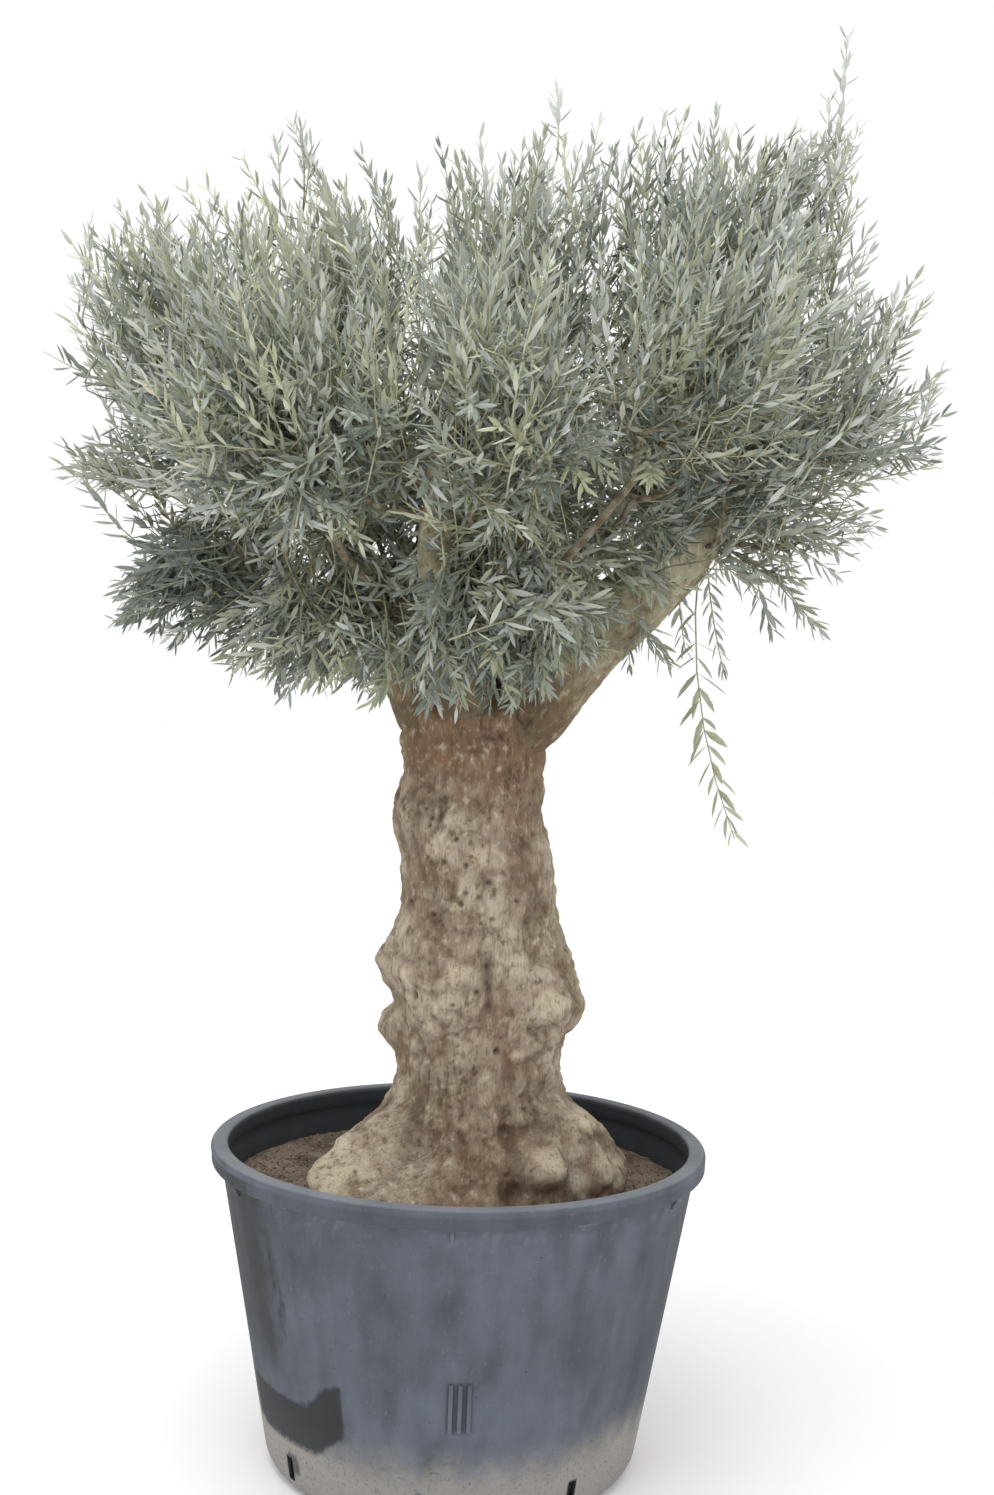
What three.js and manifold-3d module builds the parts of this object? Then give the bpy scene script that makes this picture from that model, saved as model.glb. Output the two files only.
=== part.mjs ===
// A mature olive tree in a round nursery tub.
//
// A knobbly trunk stands on the soil of the tub, forks at about 1.5 m and carries a wide, umbrella-like crown
// on a few short thick boughs. Every part is one closed faceted solid.
//
// Units are millimetres and Z is up. The origin is the middle of the tub's flat underside, and X runs across
// the widest spread of the crown. A bearing is an angle about Z in degrees: 0 is +X, 90 is +Y (the back).

import * as THREE from "three";
import { mergeVertices } from "three/addons/utils/BufferGeometryUtils.js";
import Module from "manifold-3d";

const wasm = await Module();
wasm.setup();

// ---------------------------------------------------------------- driving sizes

const TUB = {
  height: 640,
  rimRadius: 500,
  lipWidth: 34,
  lipHeight: 37,
  lipRound: 11,
  lipBackset: 3, // the lip's lower edge lies this far inside its widest part
  lipFoot: 6, // rise and fall of the slope from the lip's inside to the wall
  neckRadius: 479, // outside of the wall just under the lip
  slopeFootRadius: 371, // where the wall's straight slope would meet the ground
  cornerRadius: 42,
  wall: 7, // thickness of the wall and the floor
  sides: 40,
};

const DRAIN_SLOTS = { count: 8, firstBearing: -52, width: 18, height: 46, centreHeight: 52, depth: 90 };
const GUSSETS = { count: 6, firstBearing: -30, thick: 7, drop: 26, footProud: 6, proud: 15 };
const RIB_GROUPS = {
  count: 3, firstBearing: -87, ribs: 3, pitch: 17,
  width: 8, proud: 5, low: 206, high: 302,
};
const JOIN = 3; // gussets and ribs start this far inside the wall

const SOIL = {
  level: 540, // height of the level part that the trunk stands on
  levelRadius: 345,
  heave: 9, // rise and fall of the rest of the surface
  waves: 5,
  ripples: 11,
  rippleShare: 0.6, // height of the ripples against the waves
  rippleTurn: 30, // radians that the ripples turn from the middle to the wall
  rings: [1, 0.88], // where the uneven rings lie, as shares of the radius
  clearance: 0.6,
};

const TRUNK = {
  foot: SOIL.level,
  forkHeight: 1500,
  crownHeight: 1556, // top of the rounded fork
  footCentre: [38, 0],
  forkCentre: [2, 6],
  footRadius: 168,
  waistRadius: 139,
  waistHeight: 1385,
  depthRatio: 0.95, // front-to-back radius against side-to-side radius
  flare: 30,
  flareHeight: 70,
  flutes: 5,
  fluteDepth: 3.5,
  fluteTwist: 160, // height in which the flutes turn by a radian
};

// Burls that swell from the trunk: bearing, height, how far they stand out and how far they spread.
const BURLS = [
  { bearing: 182, height: 1303, swell: 32, spread: 40, rise: 36 },
  { bearing: 184, height: 1008, swell: 46, spread: 62, rise: 46 },
  { bearing: 172, height: 862, swell: 36, spread: 34, rise: 29 },
  { bearing: -118, height: 965, swell: 24, spread: 60, rise: 55 },
  { bearing: -14, height: 922, swell: 64, spread: 72, rise: 58 },
  { bearing: 12, height: 1030, swell: 30, spread: 60, rise: 60 },
  { bearing: -35, height: 1150, swell: 16, spread: 60, rise: 60 },
  { bearing: -105, height: 1245, swell: 14, spread: 70, rise: 60 },
  { bearing: 5, height: 1480, swell: 14, spread: 60, rise: 42 },
  { bearing: -4, height: 1205, swell: 9, spread: 60, rise: 40 },
  { bearing: 205, height: 610, swell: 118, spread: 66, rise: 62 },
  { bearing: 228, height: 568, swell: 96, spread: 52, rise: 34 },
  { bearing: -8, height: 640, swell: 104, spread: 70, rise: 62 },
  { bearing: -18, height: 560, swell: 70, spread: 62, rise: 52 },
  { bearing: -60, height: 628, swell: 62, spread: 32, rise: 30 },
  { bearing: -92, height: 560, swell: 34, spread: 90, rise: 60 },
  { bearing: 58, height: 590, swell: 78, spread: 66, rise: 56 },
  { bearing: 122, height: 600, swell: 70, spread: 60, rise: 60 },
  { bearing: 70, height: 905, swell: 34, spread: 64, rise: 60 },
  { bearing: 118, height: 1090, swell: 28, spread: 56, rise: 52 },
  { bearing: 50, height: 1260, swell: 18, spread: 50, rise: 44 },
];

// Boughs: the points that the middle of the limb passes through, and its radius at each of them.
const BOUGHS = {
  bough_right: {
    path: [[62, 0, 1440], [196, -8, 1622], [372, -16, 1800], [462, -12, 1925], [520, 0, 2060]],
    radii: [92, 78, 67, 56, 36],
  },
  bough_left: {
    path: [[-38, 0, 1440], [-138, -6, 1600], [-232, -22, 1748], [-275, -30, 1925], [-330, -20, 2110]],
    radii: [86, 60, 48, 43, 30],
  },
  bough_centre: {
    path: [[18, 30, 1440], [28, 62, 1690], [-8, 84, 1930], [10, 70, 2190]],
    radii: [80, 58, 47, 32],
  },
  bough_back: {
    path: [[40, 40, 1440], [84, 176, 1618], [120, 302, 1790], [150, 400, 2000]],
    radii: [74, 52, 42, 29],
  },
  bough_front: {
    path: [[0, -44, 1450], [-34, -158, 1640], [-70, -268, 1800], [-60, -350, 1990]],
    radii: [62, 44, 36, 26],
  },
};

// Foliage masses: centre, half-sizes along X, Y and Z, and the seed of the unevenness. Masses that would run
// into each other are parted by a plane.
const MASSES = {
  mass_left: { centre: [-586, -20, 2252], half: [268, 290, 280], seed: 7 },
  mass_right: { centre: [676, -10, 2172], half: [272, 280, 268], seed: 8 },
  mass_left_low: { centre: [-562, -30, 1792], half: [192, 215, 172], seed: 9 },
  mass_right_low: { centre: [640, 40, 1925], half: [200, 215, 138], seed: 10 },
  mass_top_left: { centre: [-318, 60, 2392], half: [272, 285, 248], seed: 11 },
  mass_top_centre: { centre: [90, 40, 2400], half: [272, 285, 290], seed: 12 },
  mass_top_right: { centre: [466, 10, 2405], half: [296, 290, 300], seed: 13 },
  mass_front_left: { centre: [-330, -390, 2090], half: [300, 265, 292], seed: 14 },
  mass_front_centre: { centre: [50, -430, 2110], half: [280, 265, 300], seed: 15 },
  mass_front_right: { centre: [410, -370, 2165], half: [258, 258, 255], seed: 16 },
  mass_back_left: { centre: [-380, 410, 2130], half: [305, 265, 300], seed: 17 },
  mass_back_centre: { centre: [60, 470, 2170], half: [295, 245, 310], seed: 18 },
  mass_back_right: { centre: [470, 390, 2140], half: [275, 265, 280], seed: 19 },
  mass_under_left: { centre: [-268, -110, 1690], half: [225, 235, 172], seed: 20 },
  mass_under_front: { centre: [50, -270, 1690], half: [240, 190, 205], seed: 21 },
  mass_under_back: { centre: [60, 330, 1780], half: [290, 230, 185], seed: 22 },
  mass_heart: { centre: [10, 0, 2080], half: [330, 270, 260], seed: 23 },
};

// Lone sprays and shoots that stick out of the masses. A lean moves the top of one sideways by this share of
// its height above the centre.
const SPRAYS = {
  shoot_tall: { centre: [690, -10, 2700], half: [44, 42, 210], lean: 0.14, seed: 1 },
  shoot_top_left: { centre: [-402, 10, 2590], half: [84, 70, 102], lean: 0.1, seed: 2 },
  shoot_top_centre: { centre: [142, -10, 2662], half: [78, 70, 106], lean: 0.1, seed: 3 },
  spray_hanging: { centre: [498, -30, 1530], half: [66, 58, 292], lean: -0.13, seed: 4 },
  spray_low_right: { centre: [646, -30, 1752], half: [84, 76, 92], lean: -0.3, seed: 5 },
  spray_under_bough: { centre: [352, -50, 1662], half: [58, 50, 76], lean: -0.5, seed: 6 },
};

const LOBES = 12; // swellings and hollows on each mass
const LOBE_DEPTH = 0.17; // how far they stand out or sink in, as a share of the half-size
const LOBE_SWELL = 0.6; // height of the swellings against the depth of the hollows
const LOBE_WIDTH = 0.5; // their breadth, in radians about the mass's centre

const GAP = 0.6; // clear space left between neighbouring parts
const WELD = 1e-3;

const DETAIL = { trunkAround: 26, trunkUp: 23, boughAround: 8, boughAlong: 6, mass: 2, spray: 1 };
const DOME_RINGS = [30, 60]; // degrees above the trunk's last full ring
const CHANCE = { seedStep: 127.1, placeStep: 311.7, spread: 43758.5453, otherSeries: 50 };

/** A material with no metal in it, from its name, colour and roughness. */
const plain = (look) => new THREE.MeshStandardMaterial({ ...look, metalness: 0 });

const MATERIALS = {
  tub: plain({ name: "tub_plastic", color: "#4c5057", roughness: 0.55 }),
  soil: plain({ name: "potting_soil", color: "#6a5d50", roughness: 1 }),
  bark: plain({ name: "olive_bark", color: "#93866f", roughness: 0.9 }),
  leaves: plain({ name: "olive_leaves", color: "#74796a", roughness: 0.7 }),
};

// ---------------------------------------------------------------- small helpers

const radians = THREE.MathUtils.degToRad;
const mix = THREE.MathUtils.lerp;

/** The signed angle from b to a in radians, between -PI and PI. */
const turnBetween = (a, b) => Math.atan2(Math.sin(a - b), Math.cos(a - b));

/** A closed geometry as a manifold-3d solid. */
function solidOf(geometry) {
  geometry.deleteAttribute("normal");
  geometry.deleteAttribute("uv");
  const merged = mergeVertices(geometry, WELD);
  const corners = merged.index.array;
  const triangles = [];
  for (let i = 0; i < corners.length; i += 3) {
    const [a, b, c] = corners.slice(i, i + 3);
    if (a !== b && b !== c && c !== a) triangles.push(a, b, c);
  }
  const mesh = new wasm.Mesh({
    numProp: 3,
    vertProperties: merged.attributes.position.array,
    triVerts: new Uint32Array(triangles),
  });
  return new wasm.Manifold(mesh);
}

/** A named three.js mesh of a manifold-3d solid, or of its largest piece if it was cut in several. */
function nodeOf(name, solid, material) {
  const pieces = solid.decompose();
  const largest = pieces.reduce((best, piece) => (piece.volume() > best.volume() ? piece : best));
  const { vertProperties, triVerts, numProp, numVert } = largest.getMesh();
  const positions = new Float32Array(numVert * 3);
  for (let i = 0; i < numVert; i++) {
    positions.set(vertProperties.subarray(i * numProp, i * numProp + 3), i * 3);
  }
  const geometry = new THREE.BufferGeometry();
  geometry.setAttribute("position", new THREE.BufferAttribute(positions, 3));
  geometry.setIndex(new THREE.BufferAttribute(triVerts, 1));
  geometry.computeVertexNormals();
  const node = new THREE.Mesh(geometry, material);
  node.name = name;
  return node;
}

/** A closed skin over a stack of equal rings of points that run anticlockwise seen from the far end. */
function skinOver(rings) {
  const around = rings[0].length;
  const points = rings.flat();
  const middle = (ring) => ring.reduce((sum, p) => sum.add(p), new THREE.Vector3()).divideScalar(around);
  const first = points.push(middle(rings[0])) - 1;
  const last = points.push(middle(rings.at(-1))) - 1;
  const index = [];
  const lastRing = (rings.length - 1) * around;
  for (let j = 0; j < around; j++) {
    const next = (j + 1) % around;
    for (let i = 0; i < lastRing; i += around) {
      index.push(i + j, i + next, i + around + next, i + j, i + around + next, i + around + j);
    }
    index.push(first, next, j, last, lastRing + j, lastRing + next);
  }
  return new THREE.BufferGeometry().setFromPoints(points).setIndex(index);
}

/** A box of this size whose middle lies at a bearing, a distance from the axis and a height. */
function boxAt(bearing, distance, height, size) {
  const box = new THREE.BoxGeometry(...size).translate(distance, 0, height);
  return solidOf(box.rotateZ(radians(bearing)));
}

// ---------------------------------------------------------------- tub and soil

const straightWallTop = TUB.height - TUB.lipHeight;
const wallSlope = (TUB.neckRadius - TUB.slopeFootRadius) / straightWallTop;

/** The radius of the wall's outside at a height above its rounded corner. */
const wallRadius = (height) => TUB.slopeFootRadius + wallSlope * height;

/** The rounded corner between the floor and the sloping wall, shrunk inwards by an offset. */
function cornerArc(offset, steps = 3) {
  const radius = TUB.cornerRadius - offset;
  const steepness = Math.atan(wallSlope);
  const middle = TUB.cornerRadius;
  const middleRadius = wallRadius(middle) - TUB.cornerRadius / Math.cos(steepness);
  return Array.from({ length: steps + 1 }, (_, i) => {
    const angle = mix(-Math.PI / 2, -steepness, i / steps);
    return new THREE.Vector2(middleRadius + radius * Math.cos(angle), middle + radius * Math.sin(angle));
  });
}

/** A solid turned about Z from a profile of radius and height. */
function turned(profile) {
  return solidOf(new THREE.LatheGeometry(profile, TUB.sides).rotateX(Math.PI / 2));
}

function tub() {
  const { height, rimRadius, lipWidth, lipRound, neckRadius, wall } = TUB;
  const lipInside = rimRadius - lipWidth;
  const arc = Array.from({ length: 3 }, (_, i) => {
    const angle = (i / 2) * (Math.PI / 2);
    const x = rimRadius - lipRound + lipRound * Math.cos(angle);
    return new THREE.Vector2(x, height - lipRound + lipRound * Math.sin(angle));
  });
  const profile = [
    new THREE.Vector2(0, 0),
    ...cornerArc(0),
    new THREE.Vector2(neckRadius, straightWallTop),
    new THREE.Vector2(rimRadius - TUB.lipBackset, straightWallTop),
    ...arc,
    new THREE.Vector2(lipInside + lipRound / 2, height),
    new THREE.Vector2(lipInside, height - lipRound / 2),
    new THREE.Vector2(lipInside, straightWallTop + TUB.lipFoot),
    new THREE.Vector2(neckRadius - wall, straightWallTop - TUB.lipFoot),
    ...cornerArc(wall, 2).reverse(),
    new THREE.Vector2(0, wall),
  ];
  let shell = turned(profile);

  for (let i = 0; i < GUSSETS.count; i++) {
    const bearing = GUSSETS.firstBearing + (360 / GUSSETS.count) * i;
    const { thick, drop, footProud, proud } = GUSSETS;
    const low = straightWallTop - drop;
    const web = new THREE.Shape([
      new THREE.Vector2(wallRadius(low) - JOIN, low),
      new THREE.Vector2(wallRadius(low) + footProud, low),
      new THREE.Vector2(neckRadius + proud, straightWallTop + JOIN),
      new THREE.Vector2(neckRadius - JOIN, straightWallTop + JOIN),
    ]);
    const plate = new THREE.ExtrudeGeometry(web, { depth: thick, bevelEnabled: false });
    plate.translate(0, 0, -thick / 2).rotateX(Math.PI / 2).rotateZ(radians(bearing));
    shell = shell.add(solidOf(plate));
  }

  for (let i = 0; i < RIB_GROUPS.count; i++) {
    const bearing = RIB_GROUPS.firstBearing + (360 / RIB_GROUPS.count) * i;
    const { ribs, pitch, width, proud, low, high } = RIB_GROUPS;
    for (let rib = 0; rib < ribs; rib++) {
      const side = (rib - (ribs - 1) / 2) * pitch;
      const outline = new THREE.Shape([
        new THREE.Vector2(wallRadius(low) - JOIN, low),
        new THREE.Vector2(wallRadius(low) + proud, low + proud),
        new THREE.Vector2(wallRadius(high) + proud, high - proud),
        new THREE.Vector2(wallRadius(high) - JOIN, high),
      ]);
      const bar = new THREE.ExtrudeGeometry(outline, { depth: width, bevelEnabled: false });
      bar.translate(0, 0, side - width / 2).rotateX(Math.PI / 2).rotateZ(radians(bearing));
      shell = shell.add(solidOf(bar));
    }
  }

  for (let i = 0; i < DRAIN_SLOTS.count; i++) {
    const { count, firstBearing, width, centreHeight, depth } = DRAIN_SLOTS;
    const bearing = firstBearing + (360 / count) * i;
    const size = [depth, width, DRAIN_SLOTS.height];
    shell = shell.subtract(boxAt(bearing, wallRadius(centreHeight), centreHeight, size));
  }
  return shell;
}

function soil() {
  const { level, levelRadius, heave, clearance } = SOIL;
  const inset = TUB.wall + clearance;
  const around = TUB.sides;
  const ringAt = (radius, height) =>
    Array.from({ length: around }, (_, j) => {
      const angle = (j / around) * 2 * Math.PI;
      return new THREE.Vector3(radius * Math.cos(angle), radius * Math.sin(angle), height(angle));
    });
  const cornerRings = cornerArc(inset, 2).map((point) => ringAt(point.x, () => point.y));
  const outer = wallRadius(level - 2 * heave) - inset;
  const topRings = SOIL.rings.map((share) =>
    ringAt(outer * share, (angle) => {
      const waves = Math.sin(SOIL.waves * angle);
      const ripples = SOIL.rippleShare * Math.sin(SOIL.ripples * angle + SOIL.rippleTurn * share);
      return level - clearance + heave * (waves + ripples);
    }),
  );
  const levelRing = ringAt(levelRadius, () => level - clearance);
  return solidOf(skinOver([...cornerRings, ...topRings, levelRing]));
}

// ---------------------------------------------------------------- trunk and boughs

/** The middle of the trunk at a height, which leans from its foot towards the fork. */
function trunkCentre(height) {
  const share = (height - TRUNK.foot) / (TRUNK.forkHeight - TRUNK.foot);
  return [0, 1].map((axis) => mix(TRUNK.footCentre[axis], TRUNK.forkCentre[axis], share));
}

/** How far the bark is from the trunk's middle at a bearing in radians and a height. */
function trunkRadius(angle, height) {
  const { foot, footRadius, waistRadius, waistHeight, flare, flareHeight, flutes, fluteDepth } = TRUNK;
  const taper = (height - foot) / (waistHeight - foot);
  const body = mix(footRadius, waistRadius, taper) * mix(1, TRUNK.depthRatio, Math.sin(angle) ** 2);
  const spread = flare * Math.exp(-(height - foot) / flareHeight);
  const fluting = fluteDepth * Math.sin(flutes * angle + height / TRUNK.fluteTwist);
  const burls = BURLS.reduce((sum, burl) => {
    const along = turnBetween(angle, radians(burl.bearing)) * body;
    const up = height - burl.height;
    return sum + burl.swell * Math.exp(-((along / burl.spread) ** 2 + (up / burl.rise) ** 2) / 2);
  }, 0);
  return body + spread + fluting + burls;
}

/** The trunk from its flat foot to the rounded fork, grown outwards by a clearance. */
function trunk(clearance = 0) {
  const { foot, forkHeight, crownHeight } = TRUNK;
  const { trunkAround, trunkUp } = DETAIL;
  const ringAt = (height, share, rise) => {
    const [x, y] = trunkCentre(height);
    return Array.from({ length: trunkAround }, (_, j) => {
      const angle = (j / trunkAround) * 2 * Math.PI;
      const radius = (trunkRadius(angle, height) + clearance) * share;
      return new THREE.Vector3(x + radius * Math.cos(angle), y + radius * Math.sin(angle), height + rise);
    });
  };
  const rings = [];
  for (let i = 0; i <= trunkUp; i++) {
    const height = mix(foot, forkHeight, i / trunkUp);
    rings.push(ringAt(height, 1, i === 0 ? -clearance : 0));
  }
  const dome = crownHeight + clearance - forkHeight;
  for (const angle of DOME_RINGS.map(radians)) {
    rings.push(ringAt(forkHeight, Math.cos(angle), dome * Math.sin(angle)));
  }
  return solidOf(skinOver(rings));
}

/** A tapering limb swept along a smooth path, with a rounded end. */
function limb({ path, radii }, clearance = 0) {
  const { boughAround, boughAlong } = DETAIL;
  const stops = path.map((point) => new THREE.Vector3(...point));
  const curve = new THREE.CatmullRomCurve3(stops, false, "centripetal");
  const frames = curve.computeFrenetFrames(boughAlong, false);
  const rings = [];
  for (let i = 0; i <= boughAlong; i++) {
    const share = i / boughAlong;
    const centre = curve.getPointAt(share);
    const along = curve.getUtoTmapping(share) * (radii.length - 1);
    const step = Math.min(Math.floor(along), radii.length - 2);
    const radius = mix(radii[step], radii[step + 1], along - step) + clearance;
    const ring = Array.from({ length: boughAround }, (_, j) => {
      const angle = (j / boughAround) * 2 * Math.PI;
      const side = frames.normals[i].clone().multiplyScalar(radius * Math.cos(angle));
      return side.addScaledVector(frames.binormals[i], radius * Math.sin(angle)).add(centre);
    });
    rings.push(ring);
  }
  return solidOf(skinOver(rings));
}

// ---------------------------------------------------------------- foliage

/** A number between 0 and 1 that depends only on a seed and a place in its series. */
function chance(seed, place) {
  const wave = Math.sin(seed * CHANCE.seedStep + place * CHANCE.placeStep) * CHANCE.spread;
  return wave - Math.floor(wave);
}

/** A direction that depends only on a seed and a place in its series. */
function directionOf(seed, place) {
  const height = 2 * chance(seed, place) - 1;
  const angle = 2 * Math.PI * chance(seed, place + CHANCE.otherSeries);
  return new THREE.Vector3().setFromCylindricalCoords(Math.sqrt(1 - height ** 2), angle, height);
}

/** One uneven mass of leaves: a rounded form whose surface swells and sinks in lobes. */
function foliage({ centre, half, seed, lean = 0 }, detail, clearance = 0) {
  const geometry = new THREE.IcosahedronGeometry(1, detail);
  const position = geometry.attributes.position;
  const lobes = Array.from({ length: LOBES }, (_, i) => directionOf(seed, i));
  const direction = new THREE.Vector3();
  for (let i = 0; i < position.count; i++) {
    direction.fromBufferAttribute(position, i).normalize();
    const swell = lobes.reduce((sum, lobe, place) => {
      const away = direction.angleTo(lobe) / LOBE_WIDTH;
      return sum + (place % 2 ? -1 : LOBE_SWELL) * LOBE_DEPTH * Math.exp(-(away ** 2));
    }, 1);
    const [x, y, z] = direction.toArray().map((part, axis) => part * (half[axis] * swell + clearance));
    position.setXYZ(i, centre[0] + x + lean * z, centre[1] + y, centre[2] + z);
  }
  return solidOf(geometry);
}

/** Everything on another mass's side of the plane that parts it from this one, or null if they lie apart. */
function beyond(mass, other) {
  const away = new THREE.Vector3(...other.centre).sub(new THREE.Vector3(...mass.centre));
  const distance = away.length();
  away.normalize();
  const reachOf = ({ half }) => 1 / Math.hypot(away.x / half[0], away.y / half[1], away.z / half[2]);
  const reach = reachOf(mass);
  const otherReach = reachOf(other);
  if (distance > (1 + LOBE_DEPTH) * (reach + otherReach)) return null;
  const cut = (distance + (reach ** 2 - otherReach ** 2) / distance) / 2 - GAP / 2;
  const block = 4 * Math.max(...mass.half);
  const turn = new THREE.Quaternion().setFromUnitVectors(new THREE.Vector3(1, 0, 0), away);
  const box = new THREE.BoxGeometry(block, block, block).translate(cut + block / 2, 0, 0);
  return solidOf(box.applyQuaternion(turn).translate(...mass.centre));
}

// ---------------------------------------------------------------- assembly

/** What is left of a solid after others are cut away from it one after another. */
const cutAway = (solid, cutters) => cutters.reduce((left, cutter) => left.subtract(cutter), solid);

const tree = new THREE.Group();
tree.name = "olive_tree_in_tub";
tree.add(nodeOf("tub", tub(), MATERIALS.tub));
tree.add(nodeOf("soil", soil(), MATERIALS.soil));
tree.add(nodeOf("trunk", trunk(), MATERIALS.bark));

const aroundTrunk = trunk(GAP);
const masses = Object.values(MASSES);

for (const [name, mass] of Object.entries(MASSES)) {
  const others = masses.filter((other) => other !== mass).map((other) => beyond(mass, other));
  const cutters = others.filter((cutter) => cutter !== null);
  const cut = cutAway(foliage(mass, DETAIL.mass), [...cutters, aroundTrunk]);
  tree.add(nodeOf(name, cut, MATERIALS.leaves));
}

const aroundMasses = masses.map((mass) => foliage(mass, DETAIL.mass, GAP));
for (const [name, spray] of Object.entries(SPRAYS)) {
  tree.add(nodeOf(name, cutAway(foliage(spray, DETAIL.spray), aroundMasses), MATERIALS.leaves));
}

const aroundSprays = Object.values(SPRAYS).map((spray) => foliage(spray, DETAIL.spray, GAP));
const aroundBoughs = [];
for (const [name, bough] of Object.entries(BOUGHS)) {
  const cutters = [aroundTrunk, ...aroundBoughs, ...aroundMasses, ...aroundSprays];
  tree.add(nodeOf(name, cutAway(limb(bough), cutters), MATERIALS.bark));
  aroundBoughs.push(limb(bough, GAP));
}

export default tree;
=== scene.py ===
"""Looks of an old olive tree in a round nursery tub: plastic, soil, bark, boughs, twigs and leaves.

Units are metres and Z is up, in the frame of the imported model, whose origin is the middle of the tub's flat
underside. Sizes that a maker would give in millimetres are written as such and multiplied by MM. A bearing
is an angle about Z in degrees: 0 is +X and 90 is +Y, the back.
"""

import logging
import math
from collections.abc import Sequence
from dataclasses import dataclass, field
from enum import Enum

import bpy
import numpy as np
from mathutils import Matrix, Vector
from mathutils.bvhtree import BVHTree


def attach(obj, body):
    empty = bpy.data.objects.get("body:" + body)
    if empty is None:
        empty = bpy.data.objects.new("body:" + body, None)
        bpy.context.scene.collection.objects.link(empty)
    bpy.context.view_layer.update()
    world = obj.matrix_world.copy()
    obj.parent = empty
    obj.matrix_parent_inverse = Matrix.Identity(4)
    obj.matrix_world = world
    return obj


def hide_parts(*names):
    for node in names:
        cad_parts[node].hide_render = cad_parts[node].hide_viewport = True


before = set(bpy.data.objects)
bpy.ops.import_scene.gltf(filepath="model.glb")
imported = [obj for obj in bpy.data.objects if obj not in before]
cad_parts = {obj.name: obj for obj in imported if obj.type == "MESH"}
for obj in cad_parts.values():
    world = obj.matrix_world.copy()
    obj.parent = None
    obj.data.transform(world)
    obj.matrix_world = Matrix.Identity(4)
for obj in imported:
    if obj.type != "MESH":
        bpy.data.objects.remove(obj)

MM = 0.001
ROOT = "root"  # the only body: nothing on the plant moves
MOST_TRIANGLES = 190_000  # in one piece

log = logging.getLogger("olive_tree")


# ------------------------------------------------------------------------------------------ small helpers


def linear(code: str) -> tuple[float, float, float, float]:
    """Turns a colour into linear light.

    Args:
        code: an sRGB colour such as "#93866f".

    Returns:
        Linear red, green, blue and an alpha of 1.
    """
    parts = [int(code[i : i + 2], 16) / 255 for i in (1, 3, 5)]
    red, green, blue = (p / 12.92 if p <= 0.04045 else ((p + 0.055) / 1.055) ** 2.4 for p in parts)
    return red, green, blue, 1.0


def unit(vectors: np.ndarray) -> np.ndarray:
    """Vectors scaled to length 1 along their last axis."""
    return vectors / np.maximum(np.linalg.norm(vectors, axis=-1, keepdims=True), 1e-12)


def ease(values: np.ndarray, low: float, high: float) -> np.ndarray:
    """Smooth step from 0 at low to 1 at high: 3t^2 - 2t^3 of the clipped share t."""
    share = np.clip((values - low) / (high - low), 0.0, 1.0)
    return share * share * (3.0 - 2.0 * share)


def turn_between(a: np.ndarray, b: float) -> np.ndarray:
    """The signed angle from b to a, between -pi and pi."""
    return np.arctan2(np.sin(a - b), np.cos(a - b))


def lattice(cells: np.ndarray, seed: int) -> np.ndarray:
    """Random numbers between -1 and 1 that depend only on whole-number cells and a seed.

    Args:
        cells: whole numbers, one row of three for each cell.
        seed: picks another set of numbers.

    Returns:
        One number for each row.
    """
    mixed = cells[:, 0] * 374761393 + cells[:, 1] * 668265263 + cells[:, 2] * 1442695041 + seed * 974634777
    mixed = (mixed ^ (mixed >> 13)) * 1274126177 & 0xFFFFFFFF
    mixed = (mixed ^ (mixed >> 16)) * 2246822519 & 0xFFFFFFFF
    return (mixed ^ (mixed >> 15)) / 2147483647.5 - 1.0


def noise(points: np.ndarray, cell: float | Sequence[float], seed: int) -> np.ndarray:
    """Smooth random hills: lattice values blended over each cell with smooth steps along the three axes.

    Args:
        points: places, one row of three for each.
        cell: size of a hill, the same on all axes or one for each axis.
        seed: picks another set of hills.

    Returns:
        A height between -1 and 1 for each place.
    """
    place = points / np.asarray(cell, float)
    corner = np.floor(place).astype(np.int64)
    part = place - corner
    part = part * part * (3.0 - 2.0 * part)
    total = np.zeros(len(points))
    for offset in np.ndindex(2, 2, 2):
        weight = np.prod(np.where(np.array(offset), part, 1.0 - part), axis=1)
        total += weight * lattice(corner + np.array(offset), seed)
    return total


def layered_noise(points: np.ndarray, cell: float | Sequence[float], seed: int, layers: int) -> np.ndarray:
    """Noise of halving sizes and heights added up, scaled back to about -1 to 1.

    Args:
        points: places, one row of three for each.
        cell: size of the largest hills.
        seed: picks another set of hills.
        layers: how many sizes are added.

    Returns:
        A height for each place.
    """
    sizes = np.asarray(cell, float)
    total = sum(noise(points, sizes / 2**i, seed + i) / 2**i for i in range(layers))
    return total / (2.0 - 2.0 ** (1 - layers))


def grid_quads(rows: int, columns: int, first: int = 0) -> np.ndarray:
    """Quads over a grid of rings whose last column joins the first.

    Args:
        rows: number of rings.
        columns: points in each ring, anticlockwise seen from the last ring's side.
        first: index of the grid's first point.

    Returns:
        Corner indices, four for each quad, facing outwards.
    """
    here = np.arange(rows - 1)[:, None] * columns + np.arange(columns)[None, :]
    beside = np.arange(rows - 1)[:, None] * columns + (np.arange(columns)[None, :] + 1) % columns
    quads = np.stack([here, beside, beside + columns, here + columns], axis=-1)
    return quads.reshape(-1, 4) + first


def fan(ring: np.ndarray, middle: int, upward: bool) -> np.ndarray:
    """Triangles that close a ring of indices towards a middle point, facing along or against its turn."""
    beside = np.roll(ring, -1)
    centre = np.full(len(ring), middle)
    return np.stack([ring, beside, centre] if upward else [beside, ring, centre], axis=-1)


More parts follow.
